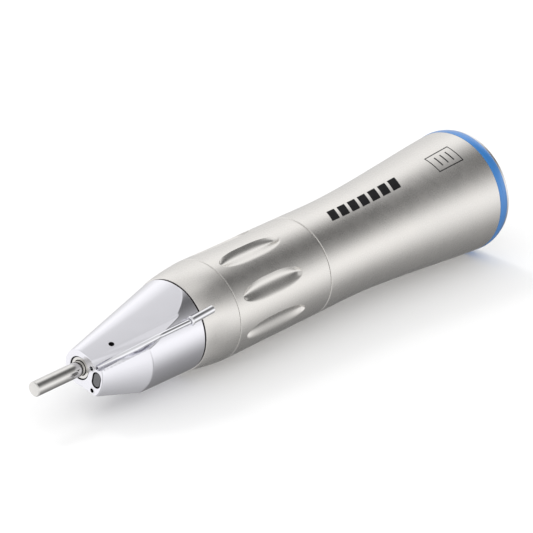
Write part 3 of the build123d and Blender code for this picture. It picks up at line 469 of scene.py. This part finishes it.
bur_front, bur_rear, _ = extent("bur_blank")
BUR_R = 1.175
BUR_BEVEL = 0.12
NECK_R, NECK_X = 0.95, (-89.3, -88.55)  # shallow neck, just inside the front hole
NECK_STEP = 0.05
build(
    "bur_shank",
    *lathe(np.vstack([
        [(bur_front, 0)],
        rounded([
            (bur_front, 0.3, 0),
            (bur_front, BUR_R - BUR_BEVEL, 0.03),
            (bur_front + BUR_BEVEL, BUR_R, 0.04),
            (NECK_X[0] - NECK_STEP, BUR_R, 0),
            (NECK_X[0], NECK_R, 0),
            (NECK_X[1], NECK_R, 0),
            (NECK_X[1] + NECK_STEP, BUR_R, 0),
            (bur_rear, BUR_R, 0.08),
            (bur_rear, 0.3, 0),
        ]),
        [(bur_rear, 0)],
    ]), segments=96),
    "tool_steel", "bur", "bur_blank",
)

# ================================================================ chuck ring with its flutes
FLUTES = 8
FLUTE_FIRST = 41.0              # one flute centre, from the spray side towards +Z
FLUTE_X = (-61.2, -47.8)
FLUTE_HALF = 12.0               # half of its width, in degrees
FLUTE_CAP = 5.6                 # length of each rounded end
FLUTE_DEPTH = 0.52
FLUTE_DEEPEST = 0.27            # where it is deepest: 0 is the middle, 1 the upper edge
FLUTE_END = 1.0                 # length over which the floor rises at each end
LEAST_HALF = 2.5                # half-width that the flute's columns keep past its ends
RIM = 0.10                      # rounding of the ring's and the nose's rims
RING_BORE_R, GROOVE_R, STOP_GROOVE_R = 6.68, 7.22, 7.05
FLUTE_MIDDLE, FLUTE_REACH = sum(FLUTE_X) / 2, (FLUTE_X[1] - FLUTE_X[0]) / 2


def rim_drop(x, front, rear):
    """How far the rounded rims lie below the surface."""
    u = np.clip(1 - np.minimum(x - front, rear - x) / RIM, 0, 1)
    return RIM * (1 - np.sqrt(1 - u * u))


def ring_rows():
    """Stations along the ring, close together over its rims and over the flutes' ends."""
    rim = RIM * (1 - np.cos(np.linspace(0, math.pi / 2, 6)))
    end = FLUTE_END * (1 - np.cos(np.linspace(0, math.pi / 2, 10)))
    front, rear = FLUTE_X
    return np.concatenate([
        RING_FRONT_X + rim,
        [RING_FRONT_X + RIM + SUPPORT],
        np.linspace(RING_FRONT_X + 0.4, front - 0.05, 5),
        front + end,
        np.arange(front + FLUTE_END + 0.2, rear - FLUTE_END - 0.1, 0.25),
        rear - end[::-1],
        np.linspace(rear + 0.05, RING_REAR_X - 0.4, 12),
        [RING_REAR_X - RIM - SUPPORT],
        RING_REAR_X - rim[::-1],
    ])


def flute_width(x):
    """Half-width of a flute in degrees: parallel sides with rounded ends."""
    past = np.clip((np.abs(x - FLUTE_MIDDLE) - FLUTE_REACH + FLUTE_CAP) / FLUTE_CAP, 0, 1)
    return FLUTE_HALF * np.sqrt(1 - past ** 2)


def flute_section(q):
    """Depth across a flute: a gentle ramp down to its deepest line, then a steeper wall."""
    ramp = np.clip((q + 1) / (1 + FLUTE_DEEPEST), 0, 1)
    wall = np.clip((q - FLUTE_DEEPEST) / (1 - FLUTE_DEEPEST), 0, 1)
    return np.where(q < FLUTE_DEEPEST, ramp * ramp * (3 - 2 * ramp), 1 - wall ** 2)


def ring_points():
    x = ring_rows()[:, None]
    width = np.maximum(flute_width(x), LEAST_HALF)
    half_pitch = 180 / FLUTES
    across = np.concatenate([
        np.linspace(-1, FLUTE_DEEPEST, 22)[:-1],
        np.linspace(FLUTE_DEEPEST, 1, 14),
    ])[None, :]
    aside = np.linspace(0, 1, 8, endpoint=False)[None, :]
    below = -half_pitch + aside * (half_pitch - width)
    above = half_pitch - aside[:, :0:-1] * (half_pitch - width)
    sector = np.concatenate([below, across * width, above], 1)
    plain = WAIST_R + (RING_R - WAIST_R) * (RING_REAR_X - x) / (RING_REAR_X - RING_FRONT_X)
    half = flute_width(x)
    rise = np.clip(1 - (FLUTE_REACH - np.abs(x - FLUTE_MIDDLE)) / FLUTE_END, 0, 1)
    depth = FLUTE_DEPTH * np.sqrt(1 - rise ** 2) * (half > 0)
    cut = flute_section(np.clip(sector / np.maximum(half, 1e-6), -1, 1))
    radius = plain - depth * cut - rim_drop(x, RING_FRONT_X, RING_REAR_X)
    centres = FLUTE_FIRST + 360 / FLUTES * np.arange(FLUTES)
    turn = (centres[None, :, None] + sector[:, None, :]).reshape(len(x), -1)
    outer = np.stack([x + 0 * turn, np.tile(radius, (1, FLUTES))], -1)
    inner = [(RING_REAR_X, RING_BORE_R)]
    for rear, front, groove in ((-42.9, -46.9, GROOVE_R), (-61.35, -62.55, STOP_GROOVE_R)):
        inner += [(rear, RING_BORE_R), (rear, groove), (front, groove), (front, RING_BORE_R)]
    inner.append((RING_FRONT_X, RING_BORE_R))
    inner = np.repeat(np.array(inner)[:, None, :], turn.shape[1], 1)
    turn = np.concatenate([turn, np.repeat(turn[-1:], len(inner), 0)])
    return swept(np.concatenate([outer, inner]), np.radians(turn))


build("chuck_ring_grip", *ring_points(), "satin_steel", "chuck_ring", "chuck_ring")

# ================================================================ nose
NOSE_TIP_R = 2.95
NOSE_BARREL_FRONT_R, NOSE_BARREL_R = 7.2, 7.45
TAPER = 0.227                   # growth of the radius per millimetre
FLANK = (58.0, 93.0)            # the upper flank is flatter between these angles
FLANK_FLATNESS = 2.7            # its radius of curvature over the round part's radius
FLANK_FADE = np.radians((15.0, 38.0))   # inside the lobe the flank sinks back to the round part
LOBE_R, LOBE_END_R, LOBE_END_X, LOBE_END_SHIFT = 4.97, 10.2, -76.0, -1.5
BAND_HALF, BAND_GROWTH = 2.8, 0.2       # half-width of the lobe, and its growth per millimetre
LOBE_BLEND, TAPER_BLEND, BARREL_BLEND, VALLEY_BLEND = 0.35, 0.12, 0.05, 0.30
VALLEY_R = 2.2
VALLEY_FROM = np.array([FACE_X, 3.79, 4.26])    # its axis: x, out to the spray side, up
VALLEY_REAR_R, VALLEY_REAR_ANGLE = 9.5, math.radians(47)
VALLEY_TO = np.array([
    -79.0, VALLEY_REAR_R * math.cos(VALLEY_REAR_ANGLE), VALLEY_REAR_R * math.sin(VALLEY_REAR_ANGLE)
])
FACE_RIM = 0.16
MOUTH_R, TUNNEL_R, SEAL_R, BEARING_R = 1.9, 2.6, 3.4, 4.5
MOUTH_DEPTH = 0.1               # the bore is painted dark, as painted shade, from here inwards
FAR = 99.0                      # stands for a ray that misses


def nose_radius(x, turn):
    """Outer radius of the nose: taper and flat-sided lobe, cut by the barrel and the hollow."""
    along = x - FACE_X
    off = np.clip(math.radians(FLANK[1]) - turn, 0, math.radians(FLANK[1] - FLANK[0]))
    shift = FLANK_FLATNESS - 1
    flat = np.sqrt(FLANK_FLATNESS ** 2 - (shift * np.sin(off)) ** 2) - shift * np.cos(off)
    flat = 1 + (flat - 1) * np.clip((turn - FLANK_FADE[0]) / (FLANK_FADE[1] - FLANK_FADE[0]), 0, 1)
    taper = (NOSE_TIP_R + TAPER * along) * flat
    share = np.clip(along / (LOBE_END_X - FACE_X), 0, 1)
    circle, shift = LOBE_R + (LOBE_END_R - LOBE_R) * share, LOBE_END_SHIFT * share
    round_part = shift * np.cos(turn) + np.sqrt(circle ** 2 - (shift * np.sin(turn)) ** 2)
    side = (BAND_HALF + BAND_GROWTH * along) / np.maximum(np.abs(np.sin(turn)), 1e-3)
    lobe = np.where(np.cos(turn) > 0, soft_min(round_part, side, LOBE_BLEND), 0.0)
    share = along / (NOSE_X - FACE_X)
    barrel = NOSE_BARREL_FRONT_R + (NOSE_BARREL_R - NOSE_BARREL_FRONT_R) * share
    radius = soft_min(soft_max(taper, lobe, TAPER_BLEND), barrel, BARREL_BLEND)
    # hollow beside the lobe: the ray out of the axis stops where it enters a slanting cylinder
    axis = VALLEY_TO - VALLEY_FROM
    axis /= np.linalg.norm(axis)
    ray = np.stack(np.broadcast_arrays(0.0 * x, np.cos(turn) + 0 * x, np.sin(turn) + 0 * x), -1)
    start = np.stack(np.broadcast_arrays(x, 0.0 * turn, 0.0 * turn), -1) - VALLEY_FROM
    ray = ray - (ray @ axis)[..., None] * axis
    start = start - (start @ axis)[..., None] * axis
    a, b = (ray ** 2).sum(-1), (ray * start).sum(-1)
    inside = b * b - a * ((start ** 2).sum(-1) - VALLEY_R ** 2)
    hit = np.where((inside > 0) & (b < 0), (-b - np.sqrt(np.clip(inside, 0, None))) / a, FAR)
    return soft_min(radius, np.where(hit > 0, hit, FAR), VALLEY_BLEND)


def nose_points():
    columns = 480
    turn = np.radians(np.linspace(0, 360, columns, endpoint=False))[None, :]
    rim = FACE_RIM * (1 - np.cos(np.linspace(0, math.pi / 2, 7)))
    back = RIM * (1 - np.cos(np.linspace(0, math.pi / 2, 5)))
    x = np.concatenate([
        FACE_X + rim,
        np.arange(FACE_X + FACE_RIM + SUPPORT, NOSE_X - RIM - SUPPORT, 0.12),
        [NOSE_X - RIM - SUPPORT],
        NOSE_X - back[::-1],
    ])[:, None]
    drop = FACE_RIM * (1 - np.sqrt(1 - np.clip(1 - (x - FACE_X) / FACE_RIM, 0, 1) ** 2))
    fall = RIM * (1 - np.sqrt(1 - np.clip(1 - (NOSE_X - x) / RIM, 0, 1) ** 2))
    outer = np.stack(np.broadcast_arrays(x, nose_radius(x, turn) - drop - fall), -1)
    bore = [
        (NOSE_X, 6.4), (STUB_X - 0.1, 6.4), (STUB_X, 6.3), (STUB_X, BEARING_R), (-79.4, BEARING_R),
        (-79.4, SEAL_R), (-82.6, SEAL_R), (-82.6, TUNNEL_R), (FACE_X + 2, TUNNEL_R),
        (FACE_X + 2, MOUTH_R), (FACE_X + 0.08, MOUTH_R), (FACE_X + 0.02, MOUTH_R + 0.02),
        (FACE_X, MOUTH_R + 0.08),
    ]
    bore = np.repeat(np.array(bore)[:, None, :], columns, 1)
    face = []
    for share in (0.05, 0.3, 0.6, 0.95):
        radius = bore[-1, :, 1] * (1 - share) + outer[0, :, 1] * share
        face.append(np.stack([np.full(columns, FACE_X), radius], -1))
    return swept(np.concatenate([outer, bore, np.array(face)]), turn)


def prism(name, front, rear, material):
    """A closed prism between two outlines with the same number of points."""
    count = len(front)
    faces = [list(range(count)), list(range(count, 2 * count))]
    faces += [[i, (i + 1) % count, count + (i + 1) % count, count + i] for i in range(count)]
    return build(name, np.concatenate([front, rear]), faces, None, None, material=material)


def plug(name, outline, start, end):
    """A prism along X over an outline of (out, up) points; the walls it cuts get the painted shade.
    """
    front, rear = ([spot(x, *point) for point in outline] for x in (start, end))
    return prism(name, front, rear, PAINTED_BORE_SHADE)


def circle(out, up, radius, count=48):
    turn = np.linspace(0, 2 * math.pi, count, endpoint=False)
    return [(out + radius * math.cos(t), up + radius * math.sin(t)) for t in turn]


def slot_outline(out, length, width, count=24):
    half, r = (length - width) / 2, width / 2
    top = [(out + r * math.cos(t), half + r * math.sin(t)) for t in np.linspace(0, math.pi, count)]
    bottom = [(out - x + out, -y) for x, y in top]
    return top + bottom


WATER = (2.35, 1.38)            # nozzle centres: out to the spray side, up
AIR_OUT, AIR_ANGLE = 3.89, math.radians(-34.4)
AIR = (AIR_OUT * math.cos(AIR_ANGLE), AIR_OUT * math.sin(AIR_ANGLE))
NOZZLE_R, NOZZLE_BORE_R, NOZZLE_HOLE_R = 0.5, 0.34, 0.51
WINDOW_OUT, WINDOW_LENGTH, WINDOW_WIDTH, WINDOW_DEPTH = 3.68, 2.8, 1.78, 1.0
VENT_X, VENT_ANGLE, VENT_R = -85.3, 65.0, 0.42
nose = build("nose_shell", *nose_points(), "nose_chrome", "root", "nose_cone")
# Painted shade: the bore's walls behind the mouth take the near-black finish.
nose.data.materials.append(PAINTED_BORE_SHADE)
for face in nose.data.polygons:
    inside = math.hypot(face.center.y, face.center.z) / MM < TUNNEL_R + 0.1
    behind_mouth = face.center.x / MM > FACE_X + MOUTH_DEPTH
    face.material_index = int(inside and behind_mouth and abs(face.normal.x) < 0.9)
TUBE_BEND = polar(-82.9, 6.8, 40.6)
WATER_ENTRY = spot(FACE_X + 0.9, 2.72, 1.5)
TUBE_SLOT_ANGLE = 42.0          # the front of the tube lies in a slot that is open this way
TUBE_SLOT_HALF = 0.45
TUBE_SLOT_REACH = 3.0           # from the tube's middle out past the nose


def tube_slot():
    """Prism over the front of the spray tube, round at both ends and open outwards."""
    way = TUBE_BEND - WATER_ENTRY
    length = np.linalg.norm(way)
    way = way / length
    side = np.cross(way, outward(TUBE_SLOT_ANGLE))
    side /= np.linalg.norm(side)
    over = np.cross(side, way)
    turn = np.linspace(-math.pi / 2, math.pi / 2, 13)
    outline = [(length + TUBE_SLOT_HALF * math.cos(t), TUBE_SLOT_HALF * math.sin(t)) for t in turn]
    outline += [(-TUBE_SLOT_HALF * math.cos(t), -TUBE_SLOT_HALF * math.sin(t)) for t in turn]
    low = np.array([WATER_ENTRY + way * u + side * v for u, v in outline])
    return prism("slot_cutter", low, low + over * TUBE_SLOT_REACH, FINISHES["nose_chrome"])


vent_axis = outward(VENT_ANGLE)
vent_points, vent_faces = lathe([(0, 0), (0, VENT_R), (5, VENT_R), (5, 0)], segments=48)
window_outline = slot_outline(WINDOW_OUT, WINDOW_LENGTH, WINDOW_WIDTH)
cutters = [
    plug("window_cutter", window_outline, FACE_X - 1, FACE_X + WINDOW_DEPTH),
    plug("water_cutter", circle(*WATER, NOZZLE_HOLE_R), FACE_X - 1, FACE_X + 1.5),
    plug("air_cutter", circle(*AIR, NOZZLE_HOLE_R), FACE_X - 1, -86.4),
    tube_slot(),
    build(
        "vent_cutter",
        placed(vent_points, np.array([VENT_X, 0, 0]) + vent_axis * 3.0, vent_axis),
        vent_faces, None, None, material=PAINTED_BORE_SHADE,
    ),
]
# The cut walls take the cutters' finish: painted shade in the window, nozzle and vent holes.
for cutter in cutters:
    cut = nose.modifiers.new(cutter.name, "BOOLEAN")
    cut.operation, cut.solver, cut.object = "DIFFERENCE", "EXACT", cutter
    cut.material_mode = "TRANSFER"
nose_mesh = bpy.data.meshes.new_from_object(nose.evaluated_get(bpy.context.evaluated_depsgraph_get()))
nose.modifiers.clear()
nose.data = nose_mesh
smooth(nose_mesh, 32)
for cutter in cutters:
    bpy.data.objects.remove(cutter)

# nozzle tubes with rounded lips, standing a hair proud of the face
for name, (out, up), depth in (("water_nozzle", WATER, 0.7), ("air_nozzle", AIR, 3.8)):
    tube = lathe(rounded([
        (-0.04, NOZZLE_BORE_R, FINE_EDGE), (-0.04, NOZZLE_R, FINE_EDGE),
        (depth, NOZZLE_R, 0), (depth, NOZZLE_BORE_R, 0),
    ]), 64)
    centre = spot(FACE_X, out, up)
    build(name + "_lip", tube[0] + centre, tube[1], "bright_steel", "root", name)


# ================================================================ spray tube and hose barb
def filleted(points, radius, steps=16):
    """A polyline with its inner corners rounded by arcs."""
    points = [np.array(p, float) for p in points]
    line = [points[0]]
    for before, here, after in zip(points, points[1:], points[2:]):
        back, ahead = before - here, after - here
        back, ahead = back / np.linalg.norm(back), ahead / np.linalg.norm(ahead)
        turn = math.pi - math.acos(float(np.clip(back @ ahead, -1, 1)))
        reach = radius * math.tan(turn / 2)
        start, end = here + back * reach, here + ahead * reach
        for t in np.linspace(0, 1, steps):
            line.append((1 - t) ** 2 * start + 2 * t * (1 - t) * here + t * t * end)
    return np.array(line + [points[-1]])


def pipe(line, outer, inner=0.0, segments=40, across=SPRAY_UP):
    """A round tube along a line of points, or a solid wire where there is no inner radius.

    across is a direction that the line never follows.
    """
    tangent = np.gradient(line, axis=0)
    tangent /= np.linalg.norm(tangent, axis=1)[:, None]
    side = np.cross(tangent, across)
    side /= np.linalg.norm(side, axis=1)[:, None]
    over = np.cross(side, tangent)
    turn = np.linspace(0, 2 * math.pi, segments, endpoint=False)[None, :, None]
    ring = side[:, None] * np.cos(turn) + over[:, None] * np.sin(turn)
    skin, bore = line[:, None] + ring * outer, line[:, None] + ring * inner
    lip = 0.06
    ends = [line[:1, None] + ring[:1] * (outer - lip) - tangent[0] * lip]
    tail = [line[-1:, None] + ring[-1:] * (outer - lip) + tangent[-1] * lip]
    if inner:
        rings = np.concatenate(ends + [skin] + tail + [bore[::-1]])
    else:
        rings = np.concatenate([bore[:1]] + ends + [skin] + tail + [bore[-1:]])
    return rings.reshape(-1, 3), grid_faces(len(rings), segments, closed=inner > 0)


TUBE_R, TUBE_BORE_R, TUBE_BEND_R = 0.42, 0.26, 5.5
route = [polar(-72.7, 8.12, 43.0), polar(-79.2, 7.75, 42.6), TUBE_BEND, WATER_ENTRY]
build(
    "spray_tube_line", *pipe(filleted(route, TUBE_BEND_R), TUBE_R, TUBE_BORE_R),
    "bright_steel", "root", "spray_tube",
)

BARB_R, BARB_BORE_R = 0.65, 0.47
BEAD_HALF, BEAD_HEIGHT = 0.25, 0.14     # rounded collar where the thin tube enters
barb_front, barb_rear = polar(-72.9, 8.13, 43.0), polar(-68.1, 8.45, 45.0)
barb_way = barb_rear - barb_front
barb_length = float(np.linalg.norm(barb_way))
bead = [
    (BEAD_HALF - BEAD_HALF * math.cos(t), BARB_R + BEAD_HEIGHT * math.sin(t), 0)
    for t in np.linspace(0.3, math.pi - 0.1, 9)
]
sleeve_points, sleeve_faces = lathe(
    rounded(
        [(0.0, BARB_BORE_R, 0), (0.0, BARB_R + 0.01, 0)] + bead
        + [(0.7, BARB_R, 0), (barb_length, BARB_R, 0.06), (barb_length, BARB_BORE_R, FINE_EDGE)]
    ),
    segments=72,
)
build(
    "hose_barb_sleeve", placed(sleeve_points, barb_front, barb_way), sleeve_faces,
    "bright_steel", "root", "hose_barb",
)


# ================================================================ chuck spring
SPRING_WIRE_R = 0.2
SPRING_TURNS = 17
CLOSED_PITCH = 0.28             # pitch of the closed end turns, as a share of the open ones'
spring_front, spring_rear, spring_r = extent("chuck_spring")
share = np.linspace(0, 1, 36 * SPRING_TURNS)
closed_share = 1 / SPRING_TURNS     # one closed turn at each end
pitch = np.interp(share, [0, closed_share, 2 * closed_share], [CLOSED_PITCH, CLOSED_PITCH, 1.0])
pitch = np.minimum(pitch, pitch[::-1])
climb = np.concatenate([[0], np.cumsum((pitch[1:] + pitch[:-1]) / 2)])
reach = spring_rear - spring_front - 2 * SPRING_WIRE_R
spring_x = spring_front + SPRING_WIRE_R + reach * climb / climb[-1]
spring_turn = 2 * math.pi * SPRING_TURNS * share
coil_r = spring_r - SPRING_WIRE_R - 0.01
coil = np.stack([spring_x, coil_r * np.cos(spring_turn), coil_r * np.sin(spring_turn)], -1)
spring = build(
    "chuck_spring_coil", *pipe(coil, SPRING_WIRE_R, segments=14, across=(1, 0, 0)),
    "spring_steel", "spindle", "chuck_spring",
)
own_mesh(spring)

# ================================================================ plain printed marks
INK_LIFT, INK_SINK = 0.012, 0.05    # how far the ink's faces lie above and below the surface


def printed(name, strokes):
    """Thin ink slabs on the sheath. A stroke is four (x, degrees from -Y to +Z) corners."""
    points, faces = [], []
    for corners in strokes:
        p = np.array(corners, float)
        nx, na = 9, 7
        u, v = np.meshgrid(np.linspace(0, 1, nx), np.linspace(0, 1, na), indexing="ij")
        flat = (
            p[0] * ((1 - u) * (1 - v))[..., None] + p[1] * (u * (1 - v))[..., None]
            + p[2] * (u * v)[..., None] + p[3] * ((1 - u) * v)[..., None]
        ).reshape(-1, 2)
        a = np.radians(flat[:, 1])
        base = len(points)
        for lift in (INK_LIFT, -INK_SINK):
            r = sheath_radius(flat[:, 0]) + lift
            points += list(np.stack([flat[:, 0], -r * np.cos(a), r * np.sin(a)], -1))
        count = nx * na
        for i in range(nx - 1):
            for j in range(na - 1):
                corner, across = base + i * na + j, base + (i + 1) * na + j
                q = [corner, across, across + 1, corner + 1]
                faces += [q, [k + count for k in q[::-1]]]
        border = [base + i * na for i in range(nx)]
        border += [base + (nx - 1) * na + j for j in range(1, na)]
        border += [base + i * na + na - 1 for i in range(nx - 2, -1, -1)]
        border += [base + j for j in range(na - 2, 0, -1)]
        for here, after in zip(border, border[1:] + border[:1]):
            faces.append([here, after, after + count, here + count])
    return build(name, points, faces, "satin_steel", "root", material=MARK_INK)


def bar(x0, x1, a0, a1, lean=0.0):
    """An upright bar; lean moves its top along X."""
    return [(x0, a0), (x1, a0), (x1 + lean, a1), (x0 + lean, a1)]


DASH_LENGTH, DASH_PITCH, DASH_LEAN = 1.75, 2.4, 0.75
DASH_ROW, DASH_ANGLES = (-36.6, -21.8), (64.0, 79.0)
dashes = [
    bar(x, x + DASH_LENGTH, *DASH_ANGLES, DASH_LEAN) for x in np.arange(*DASH_ROW, DASH_PITCH)
]
printed("sheath_dashes", dashes)
LABEL = (-12.2, -6.6, 58.5, 80.5)   # x from and to, angle from and to
thick_x, thick_a = 0.17, 1.05       # line width along X in mm, and round the sheath in degrees
STROKE_WIDTH, STROKE_INSET = 0.24, 5.0
STROKES_AT = (1.4, 2.7, 4.0)
x0, x1, a0, a1 = LABEL
frame_bars = [
    bar(x0, x1, a0, a0 + thick_a), bar(x0, x1, a1 - thick_a, a1),
    bar(x0, x0 + thick_x, a0 + thick_a, a1 - thick_a),
    bar(x1 - thick_x, x1, a0 + thick_a, a1 - thick_a),
]
strokes = [
    bar(x, x + STROKE_WIDTH, a0 + STROKE_INSET, a1 - STROKE_INSET)
    for x in x0 + np.array(STROKES_AT)
]
printed("sheath_label", frame_bars + strokes)

# ================================================================ CAD nodes that stay visible
slot_of = {part["node"]: part["material_slot"] for part in frame["record"]["subparts"]}
for node_name, obj in frame["nodes"].items():
    obj.data.materials.clear()
    obj.data.materials.append(FINISHES[slot_of[node_name]])

# ================================================================ stage
# The handpiece rests on the blue ring and on the chuck ring's front edge, so the floor
# leans a little under the level axis.
REST_R = 10.32                  # the blue ring where it touches the floor
rest_rear, rest_front = (CROWN_X, -REST_R), (RING_FRONT_X, -RING_R)
lean = math.atan2(rest_rear[1] - rest_front[1], rest_rear[0] - rest_front[0])
FLOOR_HALF = 6.0                # metres
floor_corners = [(x * FLOOR_HALF, y * FLOOR_HALF, 0) for x, y in ((-1, -1), (1, -1), (1, 1), (-1, 1))]
floor_mesh = bpy.data.meshes.new("floor")
floor_mesh.from_pydata(floor_corners, [], [(0, 1, 2, 3)])
floor = bpy.data.objects.new("floor", floor_mesh)
scene.collection.objects.link(floor)
floor.matrix_world = (
    Matrix.Translation((rest_rear[0] * MM, 0, rest_rear[1] * MM)) @ Matrix.Rotation(-lean, 4, "Y")
)

# The floor is clear to glossy rays, so that the studio's lower half shows in the metal.
paint = bpy.data.materials.new("pale_floor")
paint.use_nodes = True
tree = paint.node_tree
shader = tree.nodes["Principled BSDF"]
shader.inputs["Base Color"].default_value = (0.9, 0.9, 0.9, 1)
shader.inputs["Roughness"].default_value = 0.9
shader.inputs["Specular IOR Level"].default_value = 0.0
clear = add(tree, "ShaderNodeBsdfTransparent")
switch = add(tree, "ShaderNodeMixShader")
rays = add(tree, "ShaderNodeLightPath")
feed(tree, switch.inputs[0], rays.outputs["Is Glossy Ray"])
feed(tree, switch.inputs[1], shader.outputs[0])
feed(tree, switch.inputs[2], clear.outputs[0])
feed(tree, tree.nodes["Material Output"].inputs["Surface"], switch.outputs[0])
floor_mesh.materials.append(paint)

# Studio round the handpiece, as brightness by direction: the angle about the X axis (0 on
# the -Y horizon, 90 overhead) and the share of +X.  Broad soft boxes run along the
# handpiece, with dark gaps between them.
ALONGSIDE = [
    (-180, 0.83), (-160, 0.72), (-140, 0.34), (-120, 0.20), (-105, 0.24), (-90, 0.27),
    (-75, 0.32), (-60, 0.39), (-45, 0.58), (-30, 0.87), (-15, 1.17), (0, 1.27), (14, 1.02),
    (28, 0.62), (42, 0.32), (56, 0.18), (70, 0.13), (80, 0.17), (92, 0.40), (106, 0.90),
    (118, 1.18), (132, 1.19), (146, 1.05), (160, 0.93), (180, 0.83),
]
SHOULDER = [
    (-180, 1.10), (-150, 0.90), (-120, 0.55), (-90, 0.50), (-75, 0.55), (-60, 0.50),
    (-46, 0.42), (-32, 0.44), (-17, 0.58), (-3, 0.88), (11, 1.38), (26, 0.90), (40, 0.34),
    (55, 0.28), (69, 0.44), (83, 1.02), (98, 0.95), (112, 0.90), (127, 1.06), (141, 1.18),
    (156, 1.30), (180, 1.20),
]
OVERHEAD = [
    (-180, 1.12), (-152, 1.18), (-138, 1.14), (-122, 0.75), (-108, 0.60), (-85, 0.62),
    (-68, 0.72), (-51, 0.84), (-33, 1.02), (-15, 1.20), (10, 1.15), (40, 0.90), (62, 0.76),
    (115, 0.75), (126, 0.86), (137, 1.02), (150, 1.16), (180, 1.12),
]
world = bpy.data.worlds.new("studio")
scene.world = world
world.use_nodes = True
tree = world.node_tree
background = tree.nodes["Background"]
way = add(tree, "ShaderNodeSeparateXYZ", Vector=add(tree, "ShaderNodeTexCoord").outputs["Generated"])
minus_y = maths(tree, "MULTIPLY", way.outputs["Y"], -1)
about = maths(tree, "ARCTAN2", way.outputs["Z"], minus_y)
position = span(tree, about, 0, 1, -math.pi, math.pi)


def band(stops):
    """Colour ramp over the angle about the X axis; its values are halved to stay under 1."""
    ramp_node = add(tree, "ShaderNodeValToRGB", Fac=position)
    ramp = ramp_node.color_ramp
    ramp.interpolation = "LINEAR"
    while len(ramp.elements) < len(stops):
        ramp.elements.new(0.5)
    for element, (angle, value) in zip(ramp.elements, stops):
        element.position = (angle + 180) / 360
        element.color = (value / 2, value / 2, value / 2, 1)
    return ramp_node.outputs["Color"]


def blend(first, second, low, high):
    """Goes from the first colour to the second as the share of +X rises from low to high."""
    share = add(tree, "ShaderNodeMapRange", Value=way.outputs["X"], interpolation_type="SMOOTHSTEP")
    share.inputs["From Min"].default_value = low
    share.inputs["From Max"].default_value = high
    return mixed(tree, share.outputs[0], first, second)


# Glossy rays see the soft boxes; the rest are lit by an even sky.
PLAIN_SKY = (0.575, 0.575, 0.575, 1)
studio = blend(blend(band(OVERHEAD), band(SHOULDER), 0.28, 0.42), band(ALONGSIDE), 0.43, 0.56)
rays = add(tree, "ShaderNodeLightPath")
sky = mixed(tree, rays.outputs["Is Glossy Ray"], PLAIN_SKY, studio)
feed(tree, background.inputs["Color"], sky)
background.inputs["Strength"].default_value = 2.0

SUN_FROM = (0.12, 0.62, 0.78)   # behind the handpiece and high, so that its shadow falls forward
sun_data = bpy.data.lights.new("key", "SUN")
sun_data.energy, sun_data.angle = 0.32, math.radians(14)
sun = bpy.data.objects.new("key", sun_data)
scene.collection.objects.link(sun)
sun.rotation_mode = "QUATERNION"
sun.rotation_quaternion = Vector(SUN_FROM).to_track_quat("Z", "Y")
sun.visible_glossy = False

# ================================================================ camera
AZIMUTH, ELEVATION = math.radians(-47.46), math.radians(25.50)
CAMERA_AT = (-0.46438, -0.38199, 0.27178)
lens_data = bpy.data.cameras.new("camera")
lens_data.lens, lens_data.sensor_width = 270.17, 36.0
lens_data.clip_start, lens_data.clip_end = 0.01, 20.0
camera = bpy.data.objects.new("camera", lens_data)
scene.collection.objects.link(camera)
back = Vector((
    math.sin(AZIMUTH) * math.cos(ELEVATION),
    -math.cos(AZIMUTH) * math.cos(ELEVATION),
    math.sin(ELEVATION),
))
right = Vector((math.cos(AZIMUTH), math.sin(AZIMUTH), 0))
turn = Matrix((right, back.cross(right), back)).transposed().to_4x4()
camera.matrix_world = Matrix.Translation(CAMERA_AT) @ turn
scene.camera = camera
scene.view_settings.view_transform = "Standard"
